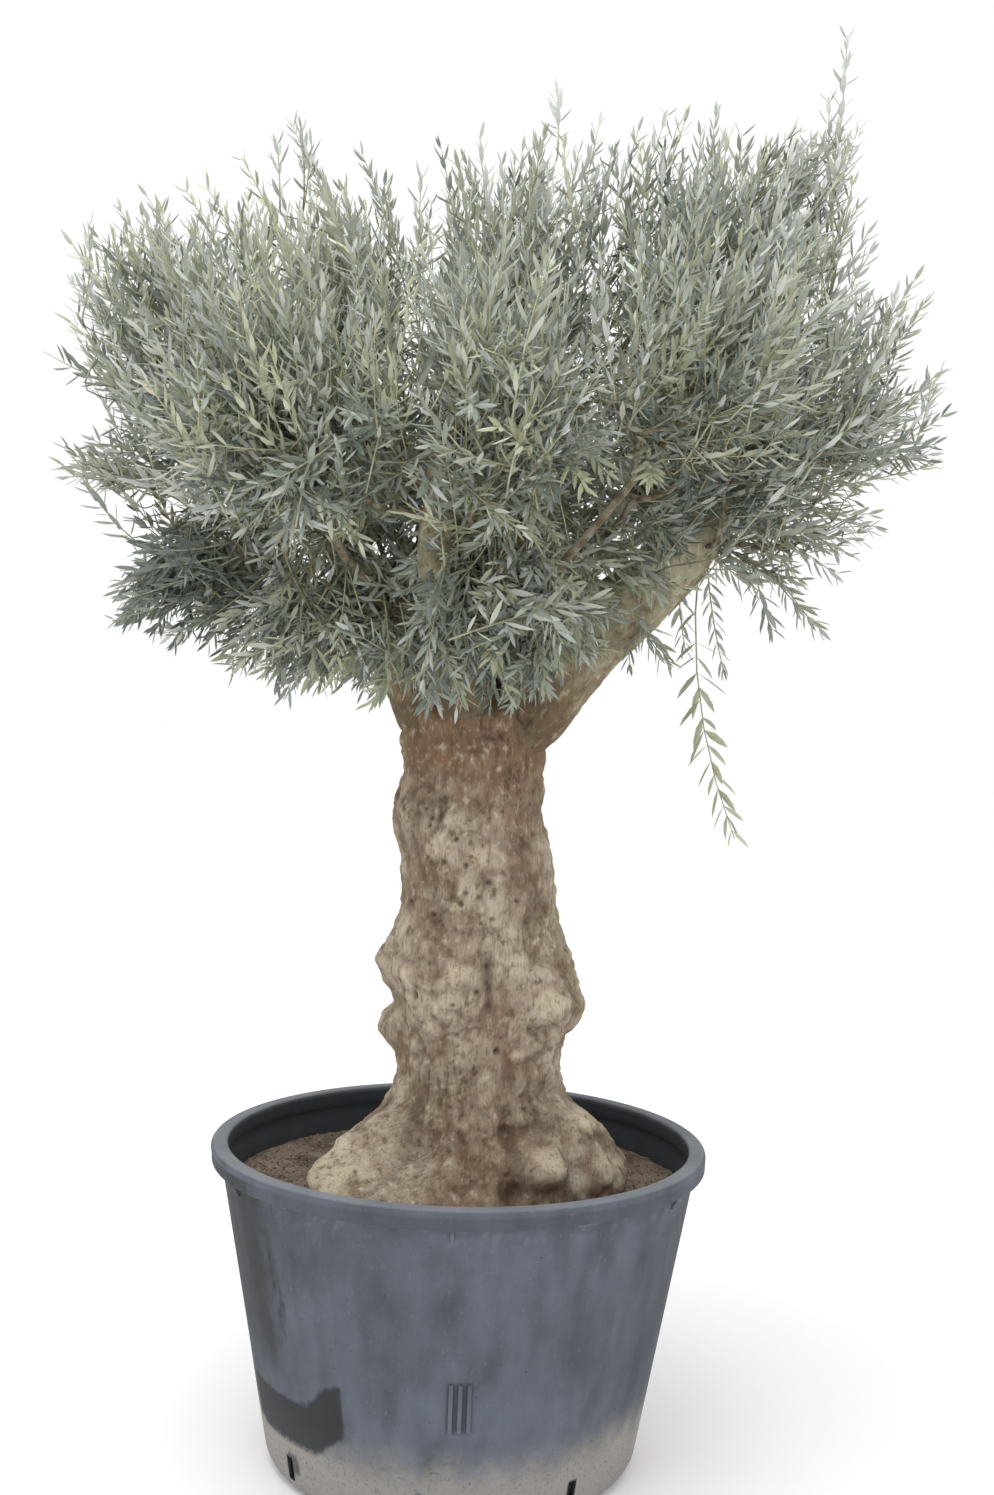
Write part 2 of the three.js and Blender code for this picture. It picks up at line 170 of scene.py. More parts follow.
def new_piece(
    name: str,
    points: np.ndarray,
    faces: Sequence[np.ndarray],
    finishes: Sequence[bpy.types.Material],
    which: np.ndarray | None = None,
    smooth: bool = True,
    attributes: dict[str, np.ndarray] | None = None,
) -> bpy.types.Object:
    """Makes a mesh object at the origin that rides on the root body.

    Args:
        name: the piece's name.
        points: corner places, one row of three for each.
        faces: arrays of corner indices, each array with the same number of corners in all its faces.
        finishes: the piece's materials.
        which: the finish's place in the list for each face, or None where there is only one.
        smooth: whether the shading is smooth.
        attributes: numbers kept at each corner for the finish to read, by name.

    Returns:
        The new object.
    """
    mesh = bpy.data.meshes.new(name)
    mesh.vertices.add(len(points))
    mesh.vertices.foreach_set("co", np.ascontiguousarray(points, np.float32).ravel())
    corners = np.concatenate([f.ravel() for f in faces]).astype(np.int32)
    counts = np.concatenate([np.full(len(f), f.shape[1]) for f in faces])
    starts = np.concatenate([[0], np.cumsum(counts)[:-1]]).astype(np.int32)
    mesh.loops.add(len(corners))
    mesh.loops.foreach_set("vertex_index", corners)
    mesh.polygons.add(len(counts))
    mesh.polygons.foreach_set("loop_start", starts)
    mesh.polygons.foreach_set("use_smooth", np.full(len(counts), smooth))
    if which is not None:
        mesh.polygons.foreach_set("material_index", which.astype(np.int32))
    for key, values in (attributes or {}).items():
        layer = mesh.attributes.new(key, "FLOAT", "POINT")
        layer.data.foreach_set("value", np.ascontiguousarray(values, np.float32))
    mesh.update(calc_edges=True)
    for finish in finishes:
        mesh.materials.append(finish)
    piece = bpy.data.objects.new(name, mesh)
    bpy.context.scene.collection.objects.link(piece)
    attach(piece, ROOT)
    triangles = int((counts - 2).sum())
    log.info("%s: %d triangles", name, triangles)
    return piece


# ------------------------------------------------------------------------------------------------ finishes


def add_node(
    tree: bpy.types.NodeTree,
    kind: str,
    settings: dict[str, object] | None = None,
    inputs: dict[str | int, object] | None = None,
) -> bpy.types.Node:
    """Adds a node with its settings, socket values and links.

    Args:
        tree: the node tree.
        kind: the node's type name.
        settings: properties of the node, by name.
        inputs: for a socket's name or number, either a value or the socket that feeds it.

    Returns:
        The new node.
    """
    node = tree.nodes.new(kind)
    for key, value in (settings or {}).items():
        setattr(node, key, value)
    for key, value in (inputs or {}).items():
        if isinstance(value, bpy.types.NodeSocket):
            tree.links.new(value, node.inputs[key])
        else:
            node.inputs[key].default_value = value
    return node


@dataclass(frozen=True)
class Finish:
    """A finish's name and the plain numbers of its surface."""

    name: str
    roughness: float
    specular: float = 0.5

    def start(self) -> tuple[bpy.types.Material, bpy.types.NodeTree, bpy.types.Node]:
        """Starts a material.

        Returns:
            The material, its node tree and its Principled node.
        """
        material = bpy.data.materials.new(self.name)
        material.use_nodes = True
        tree = material.node_tree
        surface = tree.nodes["Principled BSDF"]
        surface.inputs["Roughness"].default_value = self.roughness
        surface.inputs["Specular IOR Level"].default_value = self.specular
        return material, tree, surface

    @staticmethod
    def place(tree: bpy.types.NodeTree) -> bpy.types.NodeSocket:
        """The socket that gives a point's place on the object."""
        return add_node(tree, "ShaderNodeTexCoord").outputs["Object"]

    @staticmethod
    def speckle(
        tree: bpy.types.NodeTree, size: float, detail: float, stretch: float = 1.0
    ) -> bpy.types.NodeSocket:
        """Cloudy noise over the object.

        Args:
            tree: the material's node tree.
            size: size of the clouds in metres.
            detail: how many finer layers they have.
            stretch: how many times longer they are along Z.

        Returns:
            The socket of the noise's strength.
        """
        scale = add_node(
            tree,
            "ShaderNodeMapping",
            inputs={"Vector": Finish.place(tree), "Scale": (1.0, 1.0, 1.0 / stretch)},
        )
        cloud = add_node(
            tree,
            "ShaderNodeTexNoise",
            inputs={"Vector": scale.outputs[0], "Scale": 1.0 / size, "Detail": detail},
        )
        return cloud.outputs["Fac"]

    @staticmethod
    def blend(
        tree: bpy.types.NodeTree,
        share: bpy.types.NodeSocket,
        first: object,
        second: object,
        way: str = "MIX",
    ) -> bpy.types.NodeSocket:
        """Blends two colours.

        Args:
            tree: the material's node tree.
            share: how much of the second shows.
            first: a colour or a socket.
            second: a colour or a socket.
            way: the Mix node's blend type.

        Returns:
            The socket of the blended colour.
        """
        settings = {"data_type": "RGBA", "blend_type": way}
        return add_node(tree, "ShaderNodeMix", settings, {0: share, 6: first, 7: second}).outputs[2]

    @staticmethod
    def mean_of(
        tree: bpy.types.NodeTree, first: bpy.types.NodeSocket, second: bpy.types.NodeSocket
    ) -> bpy.types.NodeSocket:
        """The mean of two strengths."""
        total = add_node(tree, "ShaderNodeMath", {"operation": "ADD"}, {0: first, 1: second}).outputs[0]
        return add_node(tree, "ShaderNodeMath", {"operation": "MULTIPLY"}, {0: total, 1: 0.5}).outputs[0]

    @staticmethod
    def product(
        tree: bpy.types.NodeTree, first: bpy.types.NodeSocket, second: bpy.types.NodeSocket
    ) -> bpy.types.NodeSocket:
        """Two strengths multiplied."""
        return add_node(tree, "ShaderNodeMath", {"operation": "MULTIPLY"}, {0: first, 1: second}).outputs[0]

    @staticmethod
    def ramp(
        tree: bpy.types.NodeTree, value: bpy.types.NodeSocket, low: float, high: float
    ) -> bpy.types.NodeSocket:
        """The share that a value has covered of the way from low to high, held between 0 and 1."""
        inputs = {"Value": value, "From Min": low, "From Max": high}
        return add_node(tree, "ShaderNodeMapRange", {"interpolation_type": "SMOOTHSTEP"}, inputs).outputs[0]

    @staticmethod
    def roughen(
        tree: bpy.types.NodeTree, surface: bpy.types.Node, height: bpy.types.NodeSocket, depth: float
    ) -> None:
        """Gives the surface small bumps.

        Args:
            tree: the material's node tree.
            surface: the Principled node.
            height: the socket of the bumps' height, from 0 to 1.
            depth: real height of the bumps in metres.
        """
        bump = add_node(tree, "ShaderNodeBump", inputs={"Height": height, "Distance": depth, "Strength": 1.0})
        tree.links.new(bump.outputs[0], surface.inputs["Normal"])


@dataclass(frozen=True)
class DustyPlastic(Finish):
    """Moulded dark polyethylene that has stood outdoors: a dull blue-grey skin under dust, scuffs and mud,
    with painted shade on the wall between the ribs.
    """

    plastic: str = "#35383c"
    dust: str = "#686e7a"
    scuff: str = "#7b7f85"
    mud: str = "#9b968f"
    # The damp colour, which also paints the shade on the wall between the ribs.
    wet_and_rib_shade: str = "#303234"
    worn: str = "#8a8e93"

    def build(self) -> bpy.types.Material:
        """The material. It reads the tub mesh's attributes for dust, mud, damp patches together with the
        painted shade between the ribs, and wear.
        """
        material, tree, surface = self.start()
        layers = {}
        for key in ("dust", "mud", "wet_and_rib_shade", "worn"):
            layers[key] = add_node(tree, "ShaderNodeAttribute", {"attribute_name": key}).outputs["Fac"]
        grain = self.speckle(tree, 6 * MM, 6.0)
        smear = self.ramp(tree, self.speckle(tree, 70 * MM, 12.0, stretch=2.0), -0.1, 0.75)
        scuffs = self.ramp(tree, self.speckle(tree, 5 * MM, 14.0, stretch=2.5), 0.56, 0.95)
        thin_dust = self.product(tree, layers["dust"], smear)
        colour = self.blend(tree, thin_dust, linear(self.plastic), linear(self.dust))
        colour = self.blend(tree, self.product(tree, scuffs, layers["dust"]), colour, linear(self.scuff))
        colour = self.blend(tree, self.ramp(tree, grain, 0.34, 0.22), colour, linear(self.plastic))
        # Damp patches, and painted shade between the ribs.
        colour = self.blend(tree, layers["wet_and_rib_shade"], colour, linear(self.wet_and_rib_shade))
        caked = self.product(tree, layers["mud"], self.ramp(tree, grain, 0.15, 0.5))
        colour = self.blend(tree, caked, colour, linear(self.mud))
        colour = self.blend(tree, layers["worn"], colour, linear(self.worn))
        tree.links.new(colour, surface.inputs["Base Color"])
        self.roughen(tree, surface, grain, 0.5 * MM)
        return material


@dataclass(frozen=True)
class PottingSoil(Finish):
    """Peaty potting soil with bark fines: matt red-brown with pale specks."""

    dark: str = "#594d43"
    middle: str = "#877869"
    pale: str = "#b5a999"

    def build(self) -> bpy.types.Material:
        """The material."""
        material, tree, surface = self.start()
        clods = self.speckle(tree, 60 * MM, 6.0)
        fines = self.speckle(tree, 6 * MM, 5.0)
        colour = self.blend(tree, self.ramp(tree, clods, 0.3, 0.65), linear(self.dark), linear(self.middle))
        colour = self.blend(tree, self.ramp(tree, fines, 0.55, 0.75), colour, linear(self.pale))
        tree.links.new(colour, surface.inputs["Base Color"])
        self.roughen(tree, surface, fines, 3 * MM)
        return material


@dataclass(frozen=True)
class OliveBark(Finish):
    """Old olive bark: grey-tan corky plates, dark in cracks and pits, smooth and pale over healed wood; the
    crack colour also paints shade into the valleys between lumps and into hollows.
    """

    plate: str = "#7d6a57"
    plate_light: str = "#bcb09d"
    grain_light: str = "#d1c6b3"
    grain_dark: str = "#705d4b"
    # Colour of cracks and holes, also used to paint shade into valleys and hollows.
    crack_and_shade: str = "#453a30"
    healed: str = "#c6b89f"
    stain: str = "#7c6049"
    algae: str = "#7a7850"

    def build(self) -> bpy.types.Material:
        """The material. It reads the bark mesh's attributes for cracks and painted shade, raised lumps, healed
        wood, stains and algae.
        """
        material, tree, surface = self.start()
        layers = {}
        for key in ("crack_and_shade", "raised", "healed", "stain", "algae"):
            layers[key] = add_node(tree, "ShaderNodeAttribute", {"attribute_name": key}).outputs["Fac"]
        fibres = self.speckle(tree, 4 * MM, 6.0, stretch=6.0)
        grain = self.speckle(tree, 17 * MM, 12.0, stretch=1.4)
        blotches = self.speckle(tree, 42 * MM, 8.0, stretch=1.3)
        lightness = self.mean_of(tree, self.ramp(tree, blotches, 0.3, 0.68), layers["raised"])
        colour = self.blend(tree, lightness, linear(self.plate), linear(self.plate_light))
        colour = self.blend(tree, layers["stain"], colour, linear(self.stain))
        colour = self.blend(tree, layers["healed"], colour, linear(self.healed))
        colour = self.blend(tree, layers["algae"], colour, linear(self.algae))
        colour = self.blend(tree, self.ramp(tree, fibres, 0.51, 0.18), colour, linear(self.grain_dark))
        colour = self.blend(tree, self.ramp(tree, grain, 0.48, 0.25), colour, linear(self.grain_dark))
        colour = self.blend(tree, self.ramp(tree, fibres, 0.56, 0.95), colour, linear(self.grain_light))
        colour = self.blend(tree, self.ramp(tree, grain, 0.53, 0.85), colour, linear(self.grain_light))
        # Cracks, holes and painted shade in valleys and hollows.
        colour = self.blend(tree, layers["crack_and_shade"], colour, linear(self.crack_and_shade))
        tree.links.new(colour, surface.inputs["Base Color"])
        self.roughen(tree, surface, self.mean_of(tree, fibres, grain), 4 * MM)
        return material


@dataclass(frozen=True)
class TwigBark(Finish):
    """Young olive bark: smooth, mottled between two colours."""

    base: str = "#7d7866"
    mottle: str = "#59513f"

    def build(self) -> bpy.types.Material:
        """The material."""
        material, tree, surface = self.start()
        spots = self.ramp(tree, self.speckle(tree, 18 * MM, 4.0), 0.4, 0.65)
        tree.links.new(
            self.blend(tree, spots, linear(self.base), linear(self.mottle)), surface.inputs["Base Color"]
        )
        return material


@dataclass(frozen=True)
class LeafSkin(Finish):
    """One face of an olive leaf: leathery green above, silvery with scales below, faintly mottled."""

    colour: str = "#6f7763"
    shade: str = "#5b6350"

    def build(self) -> bpy.types.Material:
        """The material."""
        material, tree, surface = self.start()
        mottle = self.ramp(tree, self.speckle(tree, 45 * MM, 3.0), 0.35, 0.7)
        tree.links.new(
            self.blend(tree, mottle, linear(self.colour), linear(self.shade)), surface.inputs["Base Color"]
        )
        return material


# ------------------------------------------------------------------------------------------------- the tub


@dataclass
class Tub:
    """A moulded nursery tub with a rolled lip, gussets, rib groups and drain slots. Sizes are in metres."""

    height: float = 640 * MM
    rim_radius: float = 500 * MM
    lip_width: float = 34 * MM
    lip_height: float = 37 * MM
    lip_round: float = 11 * MM
    neck_radius: float = 479 * MM
    slope_foot_radius: float = 371 * MM
    corner_radius: float = 42 * MM
    wall: float = 7 * MM
    around: int = 400
    gussets: int = 6
    gusset_bearing: float = -30.0
    gusset_thick: float = 7 * MM
    gusset_drop: float = 26 * MM
    gusset_proud: float = 15 * MM
    rib_groups: int = 3
    rib_bearing: float = -87.0
    rib_pitch: float = 17 * MM
    rib_width: float = 8 * MM
    rib_proud: float = 5 * MM
    rib_low: float = 206 * MM
    rib_high: float = 302 * MM
    slots: int = 8
    slot_bearing: float = -52.0
    slot_width: float = 18 * MM
    slot_height: float = 46 * MM
    slot_middle: float = 52 * MM
    seed: int = 11

    def wall_radius(self, height: np.ndarray | float) -> np.ndarray | float:
        """Radius of the wall's outside, which grows evenly with height."""
        top = self.height - self.lip_height
        return self.slope_foot_radius + (self.neck_radius - self.slope_foot_radius) * height / top

    def _line(self, start: Sequence[float], end: Sequence[float], step: float) -> np.ndarray:
        """Points from start up to but not including end, about a step apart."""
        count = max(1, round(math.dist(start, end) / step))
        share = np.arange(count)[:, None] / count
        return np.asarray(start) * (1 - share) + np.asarray(end) * share

    def _arc(
        self, middle: Sequence[float], radius: float, first: float, last: float, count: int
    ) -> np.ndarray:
        """Points on an arc from one angle to another, in degrees."""
        angle = np.radians(np.linspace(first, last, count))
        return np.stack([middle[0] + radius * np.cos(angle), middle[1] + radius * np.sin(angle)], axis=1)

    def _profile(self) -> tuple[np.ndarray, np.ndarray]:
        """The tub's section from the middle of the underside, out, up, over the lip and back down inside.

        Returns:
            Radius and height of each point, and which side it is on: 1 outside, 0 lip, -1 inside.
        """
        top = self.height - self.lip_height
        slope = math.degrees(math.atan((self.neck_radius - self.slope_foot_radius) / top))
        corner = self.corner_radius
        middle = (self.wall_radius(corner) - corner / math.cos(math.radians(slope)), corner)
        lip_in = self.rim_radius - self.lip_width
        bead = self.lip_round
        rounding = 3 * MM
        outer = [
            self._line((40 * MM, 0.0), (middle[0], 0.0), 60 * MM),
            self._arc(middle, corner, -90, -slope, 16),
            self._line(
                self._arc(middle, corner, -slope, -slope, 1)[0], (self.neck_radius, top - 4 * MM), 8 * MM
            )[1:],
            self._arc((self.neck_radius + 4 * MM, top - 4 * MM), 4 * MM, 180, 90, 4),
            self._line((self.neck_radius + 5 * MM, top), (self.rim_radius - rounding, top), 5 * MM),
            self._arc((self.rim_radius - rounding - 1 * MM, top + rounding), rounding, -90, 0, 4),
            self._line(
                (self.rim_radius - 0.8 * MM, top + rounding + 3 * MM), (self.rim_radius, self.height - bead),
                5 * MM
            ),
        ]
        lip = [
            self._arc((self.rim_radius - bead, self.height - bead), bead, 0, 90, 8),
            self._line(
                (self.rim_radius - bead - 3 * MM, self.height), (lip_in + bead / 2 + 1 * MM, self.height),
                4 * MM
            ),
            self._arc((lip_in + bead / 2, self.height - bead / 2), bead / 2, 90, 180, 6),
        ]
        inner_neck = (self.neck_radius - self.wall, top - 6 * MM)
        inner = [
            self._line((lip_in, self.height - bead), (lip_in, top + 6 * MM), 6 * MM),
            self._line((lip_in + 1 * MM, top + 3 * MM), inner_neck, 5 * MM),
            self._line(inner_neck, self._arc(middle, corner - self.wall, -slope, -slope, 1)[0], 14 * MM),
            self._arc(middle, corner - self.wall, -slope, -90, 8),
            self._line((middle[0] - 20 * MM, self.wall), (40 * MM, self.wall), 90 * MM),
        ]
        parts = [np.concatenate(outer), np.concatenate(lip), np.concatenate(inner)]
        side = np.concatenate([np.full(len(p), s) for p, s in zip(parts, (1, 0, -1))])
        return np.concatenate(parts), side

    def _grime_and_shade(self, points: np.ndarray, side: np.ndarray) -> dict[str, np.ndarray]:
        """Where dust, mud, damp and wear lie, and the painted shade between the ribs, worked out from height,
        bearing and seeded noise.

        Args:
            points: places on the tub.
            side: 1 outside, 0 on the lip and -1 inside, for each place.

        Returns:
            The four attributes that the plastic's finish reads.
        """
        x, y, z = points.T
        bearing = np.degrees(np.arctan2(y, x))
        outside = side == 1
        clouds = layered_noise(points, 110 * MM, self.seed, 5)
        streaks = layered_noise(points, (26 * MM, 26 * MM, 240 * MM), self.seed + 9, 4)
        fine = layered_noise(points, 12 * MM, self.seed + 17, 3)
        top = self.height - self.lip_height
        under_lip = np.exp(-(top - z) / (26 * MM)) * ease(fine + 0.8 * clouds, -0.2, 0.6)
        facing = np.cos(np.radians(bearing + 84.0))
        dust = (
            0.4 + 0.26 * clouds + 0.24 * streaks + 0.34 * ease(facing, 0.4, 0.97) + 0.14 * ease(z, 0.32, 0.2)
        )
        on_lip = z > top - 1 * MM
        dust = np.where(on_lip, 0.52 + 0.15 * clouds, dust + 0.55 * under_lip)
        dust = np.where(outside, dust, np.where(side == 0, 0.72 + 0.2 * clouds, 0.12))
        # Painted shade: the wall between the ribs of each group is darkened with the damp colour.
        pitch = 360.0 / self.rib_groups
        from_ribs = np.radians(
            (bearing - self.rib_bearing + pitch / 2) % pitch - pitch / 2
        ) * self.wall_radius(z)
        rib_groove_shade = 1 - ease(np.abs(from_ribs), 1.2 * self.rib_pitch, 1.5 * self.rib_pitch)
        rib_groove_shade = rib_groove_shade * ease(z, self.rib_low - 4 * MM, self.rib_low + 4 * MM)
        rib_groove_shade = rib_groove_shade * (1 - ease(z, self.rib_high - 4 * MM, self.rib_high + 4 * MM))
        flanks = 20 * MM * ease(np.abs(turn_between(np.radians(bearing), math.radians(-86.0))), 0.3, 0.9)
        edge = (
            168 * MM + flanks + 26 * MM * layered_noise(
                points, (50 * MM, 50 * MM, 700 * MM), self.seed + 23, 5
            )
        )
        mud = ease(edge - z + 18 * MM * fine + 10 * MM * clouds, -12 * MM, 95 * MM) * (0.85 + 0.15 * clouds)
        mud = np.where(
            outside, np.maximum(mud, 0.45 * under_lip * (z < top) * ease(fine + streaks, 0.1, 0.8)), 0.0
        )
        across = turn_between(np.radians(bearing), math.radians(-140.0))
        upper = 205 * MM + 60 * MM * ease(across, 0.12, 0.36)
        lower = 112 * MM + 52 * MM * ease(across, 0.18, 0.4)
        inside = np.minimum(
            np.minimum(upper - z, z - lower), self.slope_foot_radius * (0.38 - np.abs(across))
        )
        wet_and_rib_shade = ease(inside + 7 * MM * (fine + clouds), -3 * MM, 5 * MM)
        spot = np.hypot(across * self.slope_foot_radius, z - 66 * MM)
        wet_and_rib_shade = np.maximum(wet_and_rib_shade, 0.8 * ease(24 * MM + 8 * MM * fine - spot, 0.0, 6 * MM))
        from_side = np.abs(turn_between(np.radians(bearing), math.radians(-162.0)))
        runs = ease(0.46 + 0.14 * streaks + 0.03 * fine - from_side, 0.0, 0.09) * ease(z, 0.22, 0.34)
        runs = runs * (1.2 + 0.9 * streaks + 0.3 * fine)
        # The damp colour also carries the painted shade between the ribs.
        wet_and_rib_shade = np.where(outside, np.clip(0.95 * wet_and_rib_shade + 0.6 * runs + 0.65 * rib_groove_shade, 0, 1), 0.0)
        worn = np.where(side == 0, 0.55 + 0.35 * clouds, 0.0)
        worn = worn * ease(z, self.height - 4 * MM, self.height - 1 * MM)
        return {"dust": np.clip(dust, 0, 1), "mud": mud * (1 - wet_and_rib_shade), "wet_and_rib_shade": wet_and_rib_shade, "worn": np.clip(worn, 0, 1)}

    def _shell(self, finish: bpy.types.Material) -> bpy.types.Object:
        """The tub's wall, floor and lip as one closed skin turned about Z, a little out of true."""
        profile, side = self._profile()
        angle = np.linspace(0, 2 * np.pi, self.around, endpoint=False)
        radius = np.repeat(profile[:, 0][:, None], self.around, axis=1)
        height = np.repeat(profile[:, 1][:, None], self.around, axis=1)
        wobble = 0.8 * MM * np.sin(3 * angle + 1.0) + 0.5 * MM * np.sin(7 * angle)
        radius = radius + wobble[None, :] * ease(height, 0.1, 0.3) * (side[:, None] == 1)
        points = np.stack([radius * np.cos(angle), radius * np.sin(angle), height], axis=-1).reshape(-1, 3)
        sides = np.repeat(side, self.around)
        below = len(points)
        points = np.concatenate([points, [[0, 0, 0], [0, 0, self.wall]]])
        ring = np.arange(self.around)
        last = (len(profile) - 1) * self.around + ring
        faces = [grid_quads(len(profile), self.around), fan(ring, below, False), fan(last, below + 1, True)]
        sides = np.concatenate([sides, [1, -1]])
        grime_and_shade = self._grime_and_shade(points, sides)
        shell = new_piece("tub_shell", points, faces, [finish], attributes=grime_and_shade)
        self._cut_slots(shell)
        return shell

    def _box(
        self,
        bearing: float,
        radius: tuple[float, float],
        side: tuple[float, float],
        height: tuple[float, float],
        lean: float = 0.0,
    ) -> tuple[np.ndarray, np.ndarray]:
        """A six-sided block that faces outwards at a bearing.

        Args:
            bearing: direction of its middle in degrees.
            radius: inner and outer distance from the axis.
            side: lowest and highest sideways place.
            height: bottom and top.
            lean: how far its top stands out beyond its bottom.

        Returns:
            Its eight corners and its six quads.
        """
        grid = np.array(np.meshgrid([0, 1], [0, 1], [0, 1], indexing="ij")).reshape(3, -1).T
        out = np.asarray(radius)[grid[:, 0]] + lean * grid[:, 2]
        across = np.asarray(side)[grid[:, 1]]
        turn = math.radians(bearing)
        x = out * math.cos(turn) - across * math.sin(turn)
        y = out * math.sin(turn) + across * math.cos(turn)
        corners = np.stack([x, y, np.asarray(height)[grid[:, 2]]], axis=1)
        quads = np.array([[0, 1, 3, 2], [4, 6, 7, 5], [0, 4, 5, 1], [2, 3, 7, 6], [0, 2, 6, 4], [1, 5, 7, 3]])
        return corners, quads

    def _cut_slots(self, shell: bpy.types.Object) -> None:
        """Cuts the drain slots through the tub's rounded bottom corner."""
        corners, quads = [], []
        reach = 45 * MM
        for i in range(self.slots):
            bearing = self.slot_bearing + 360.0 / self.slots * i
            radius = self.wall_radius(self.slot_middle)
            low, high = self.slot_middle - self.slot_height / 2, self.slot_middle + self.slot_height / 2
            half = self.slot_width / 2
            block, sides = self._box(bearing, (radius - reach, radius + reach), (-half, half), (low, high))
            quads.append(sides + 8 * i)
            corners.append(block)
        mesh = bpy.data.meshes.new("slot_cutter")
        mesh.from_pydata(np.concatenate(corners).tolist(), [], np.concatenate(quads).tolist())
        cutter = bpy.data.objects.new("slot_cutter", mesh)
        bpy.context.scene.collection.objects.link(cutter)
        cut = shell.modifiers.new("slots", "BOOLEAN")
        cut.operation, cut.object, cut.solver = "DIFFERENCE", cutter, "EXACT"
        graph = bpy.context.evaluated_depsgraph_get()
        carved = bpy.data.meshes.new_from_object(shell.evaluated_get(graph), depsgraph=graph)
        shell.modifiers.clear()
        shell.data = carved
        bpy.data.objects.remove(cutter)

    def _moulded_details(self, finish: bpy.types.Material) -> bpy.types.Object:
        """The gussets under the lip and the upright ribs on the wall, softened at their edges."""
        corners, quads = [], []

        def keep(block: np.ndarray, sides: np.ndarray) -> None:
            """Adds one block."""
            quads.append(sides + 8 * len(corners))
            corners.append(block)

        top = self.height - self.lip_height
        sunk = 3 * MM
        for i in range(self.gussets):
            bearing = self.gusset_bearing + 360.0 / self.gussets * i
            half = self.gusset_thick / 2
            inner = self.wall_radius(top - self.gusset_drop) - sunk
            block, sides = self._box(
                bearing, (inner, inner + sunk + 5 * MM), (-half, half), (top - self.gusset_drop, top + sunk),
                5 * MM
            )
            block[-1 * np.array([1, 3]), :2] *= 1 + (self.gusset_proud - 5 * MM) / self.neck_radius
            keep(block, sides)
        for i in range(self.rib_groups):
            bearing = self.rib_bearing + 360.0 / self.rib_groups * i
            for place in (-1, 0, 1):
                middle = place * self.rib_pitch
                low, high = self.wall_radius(self.rib_low), self.wall_radius(self.rib_high)
                across = (middle - self.rib_width / 2, middle + self.rib_width / 2)
                block, sides = self._box(
                    bearing, (low - sunk, low + self.rib_proud), across, (self.rib_low, self.rib_high),
                    high - low
                )
                keep(block, sides)
        points = np.concatenate(corners)
        grime_and_shade = self._grime_and_shade(points, np.ones(len(points)))
        # The ribs themselves get no damp and no painted shade.
        grime_and_shade["wet_and_rib_shade"] *= 0.0
        piece = new_piece(
            "tub_ribs", points, [np.concatenate(quads)], [finish], smooth=False,
            attributes=grime_and_shade
        )
        soften = piece.modifiers.new("soften", "BEVEL")
        soften.width, soften.segments = 1.5 * MM, 2
        return piece

    def build(self) -> None:
        """Builds the tub and stands it in for its CAD node."""
        finish = DustyPlastic("dusty_polyethylene", roughness=0.66, specular=0.18).build()
        shell = self._shell(finish)
        self._moulded_details(finish)
        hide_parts("tub")
        log.info("tub: shell, gussets, ribs and drain slots")


# ------------------------------------------------------------------------------------------------ the soil


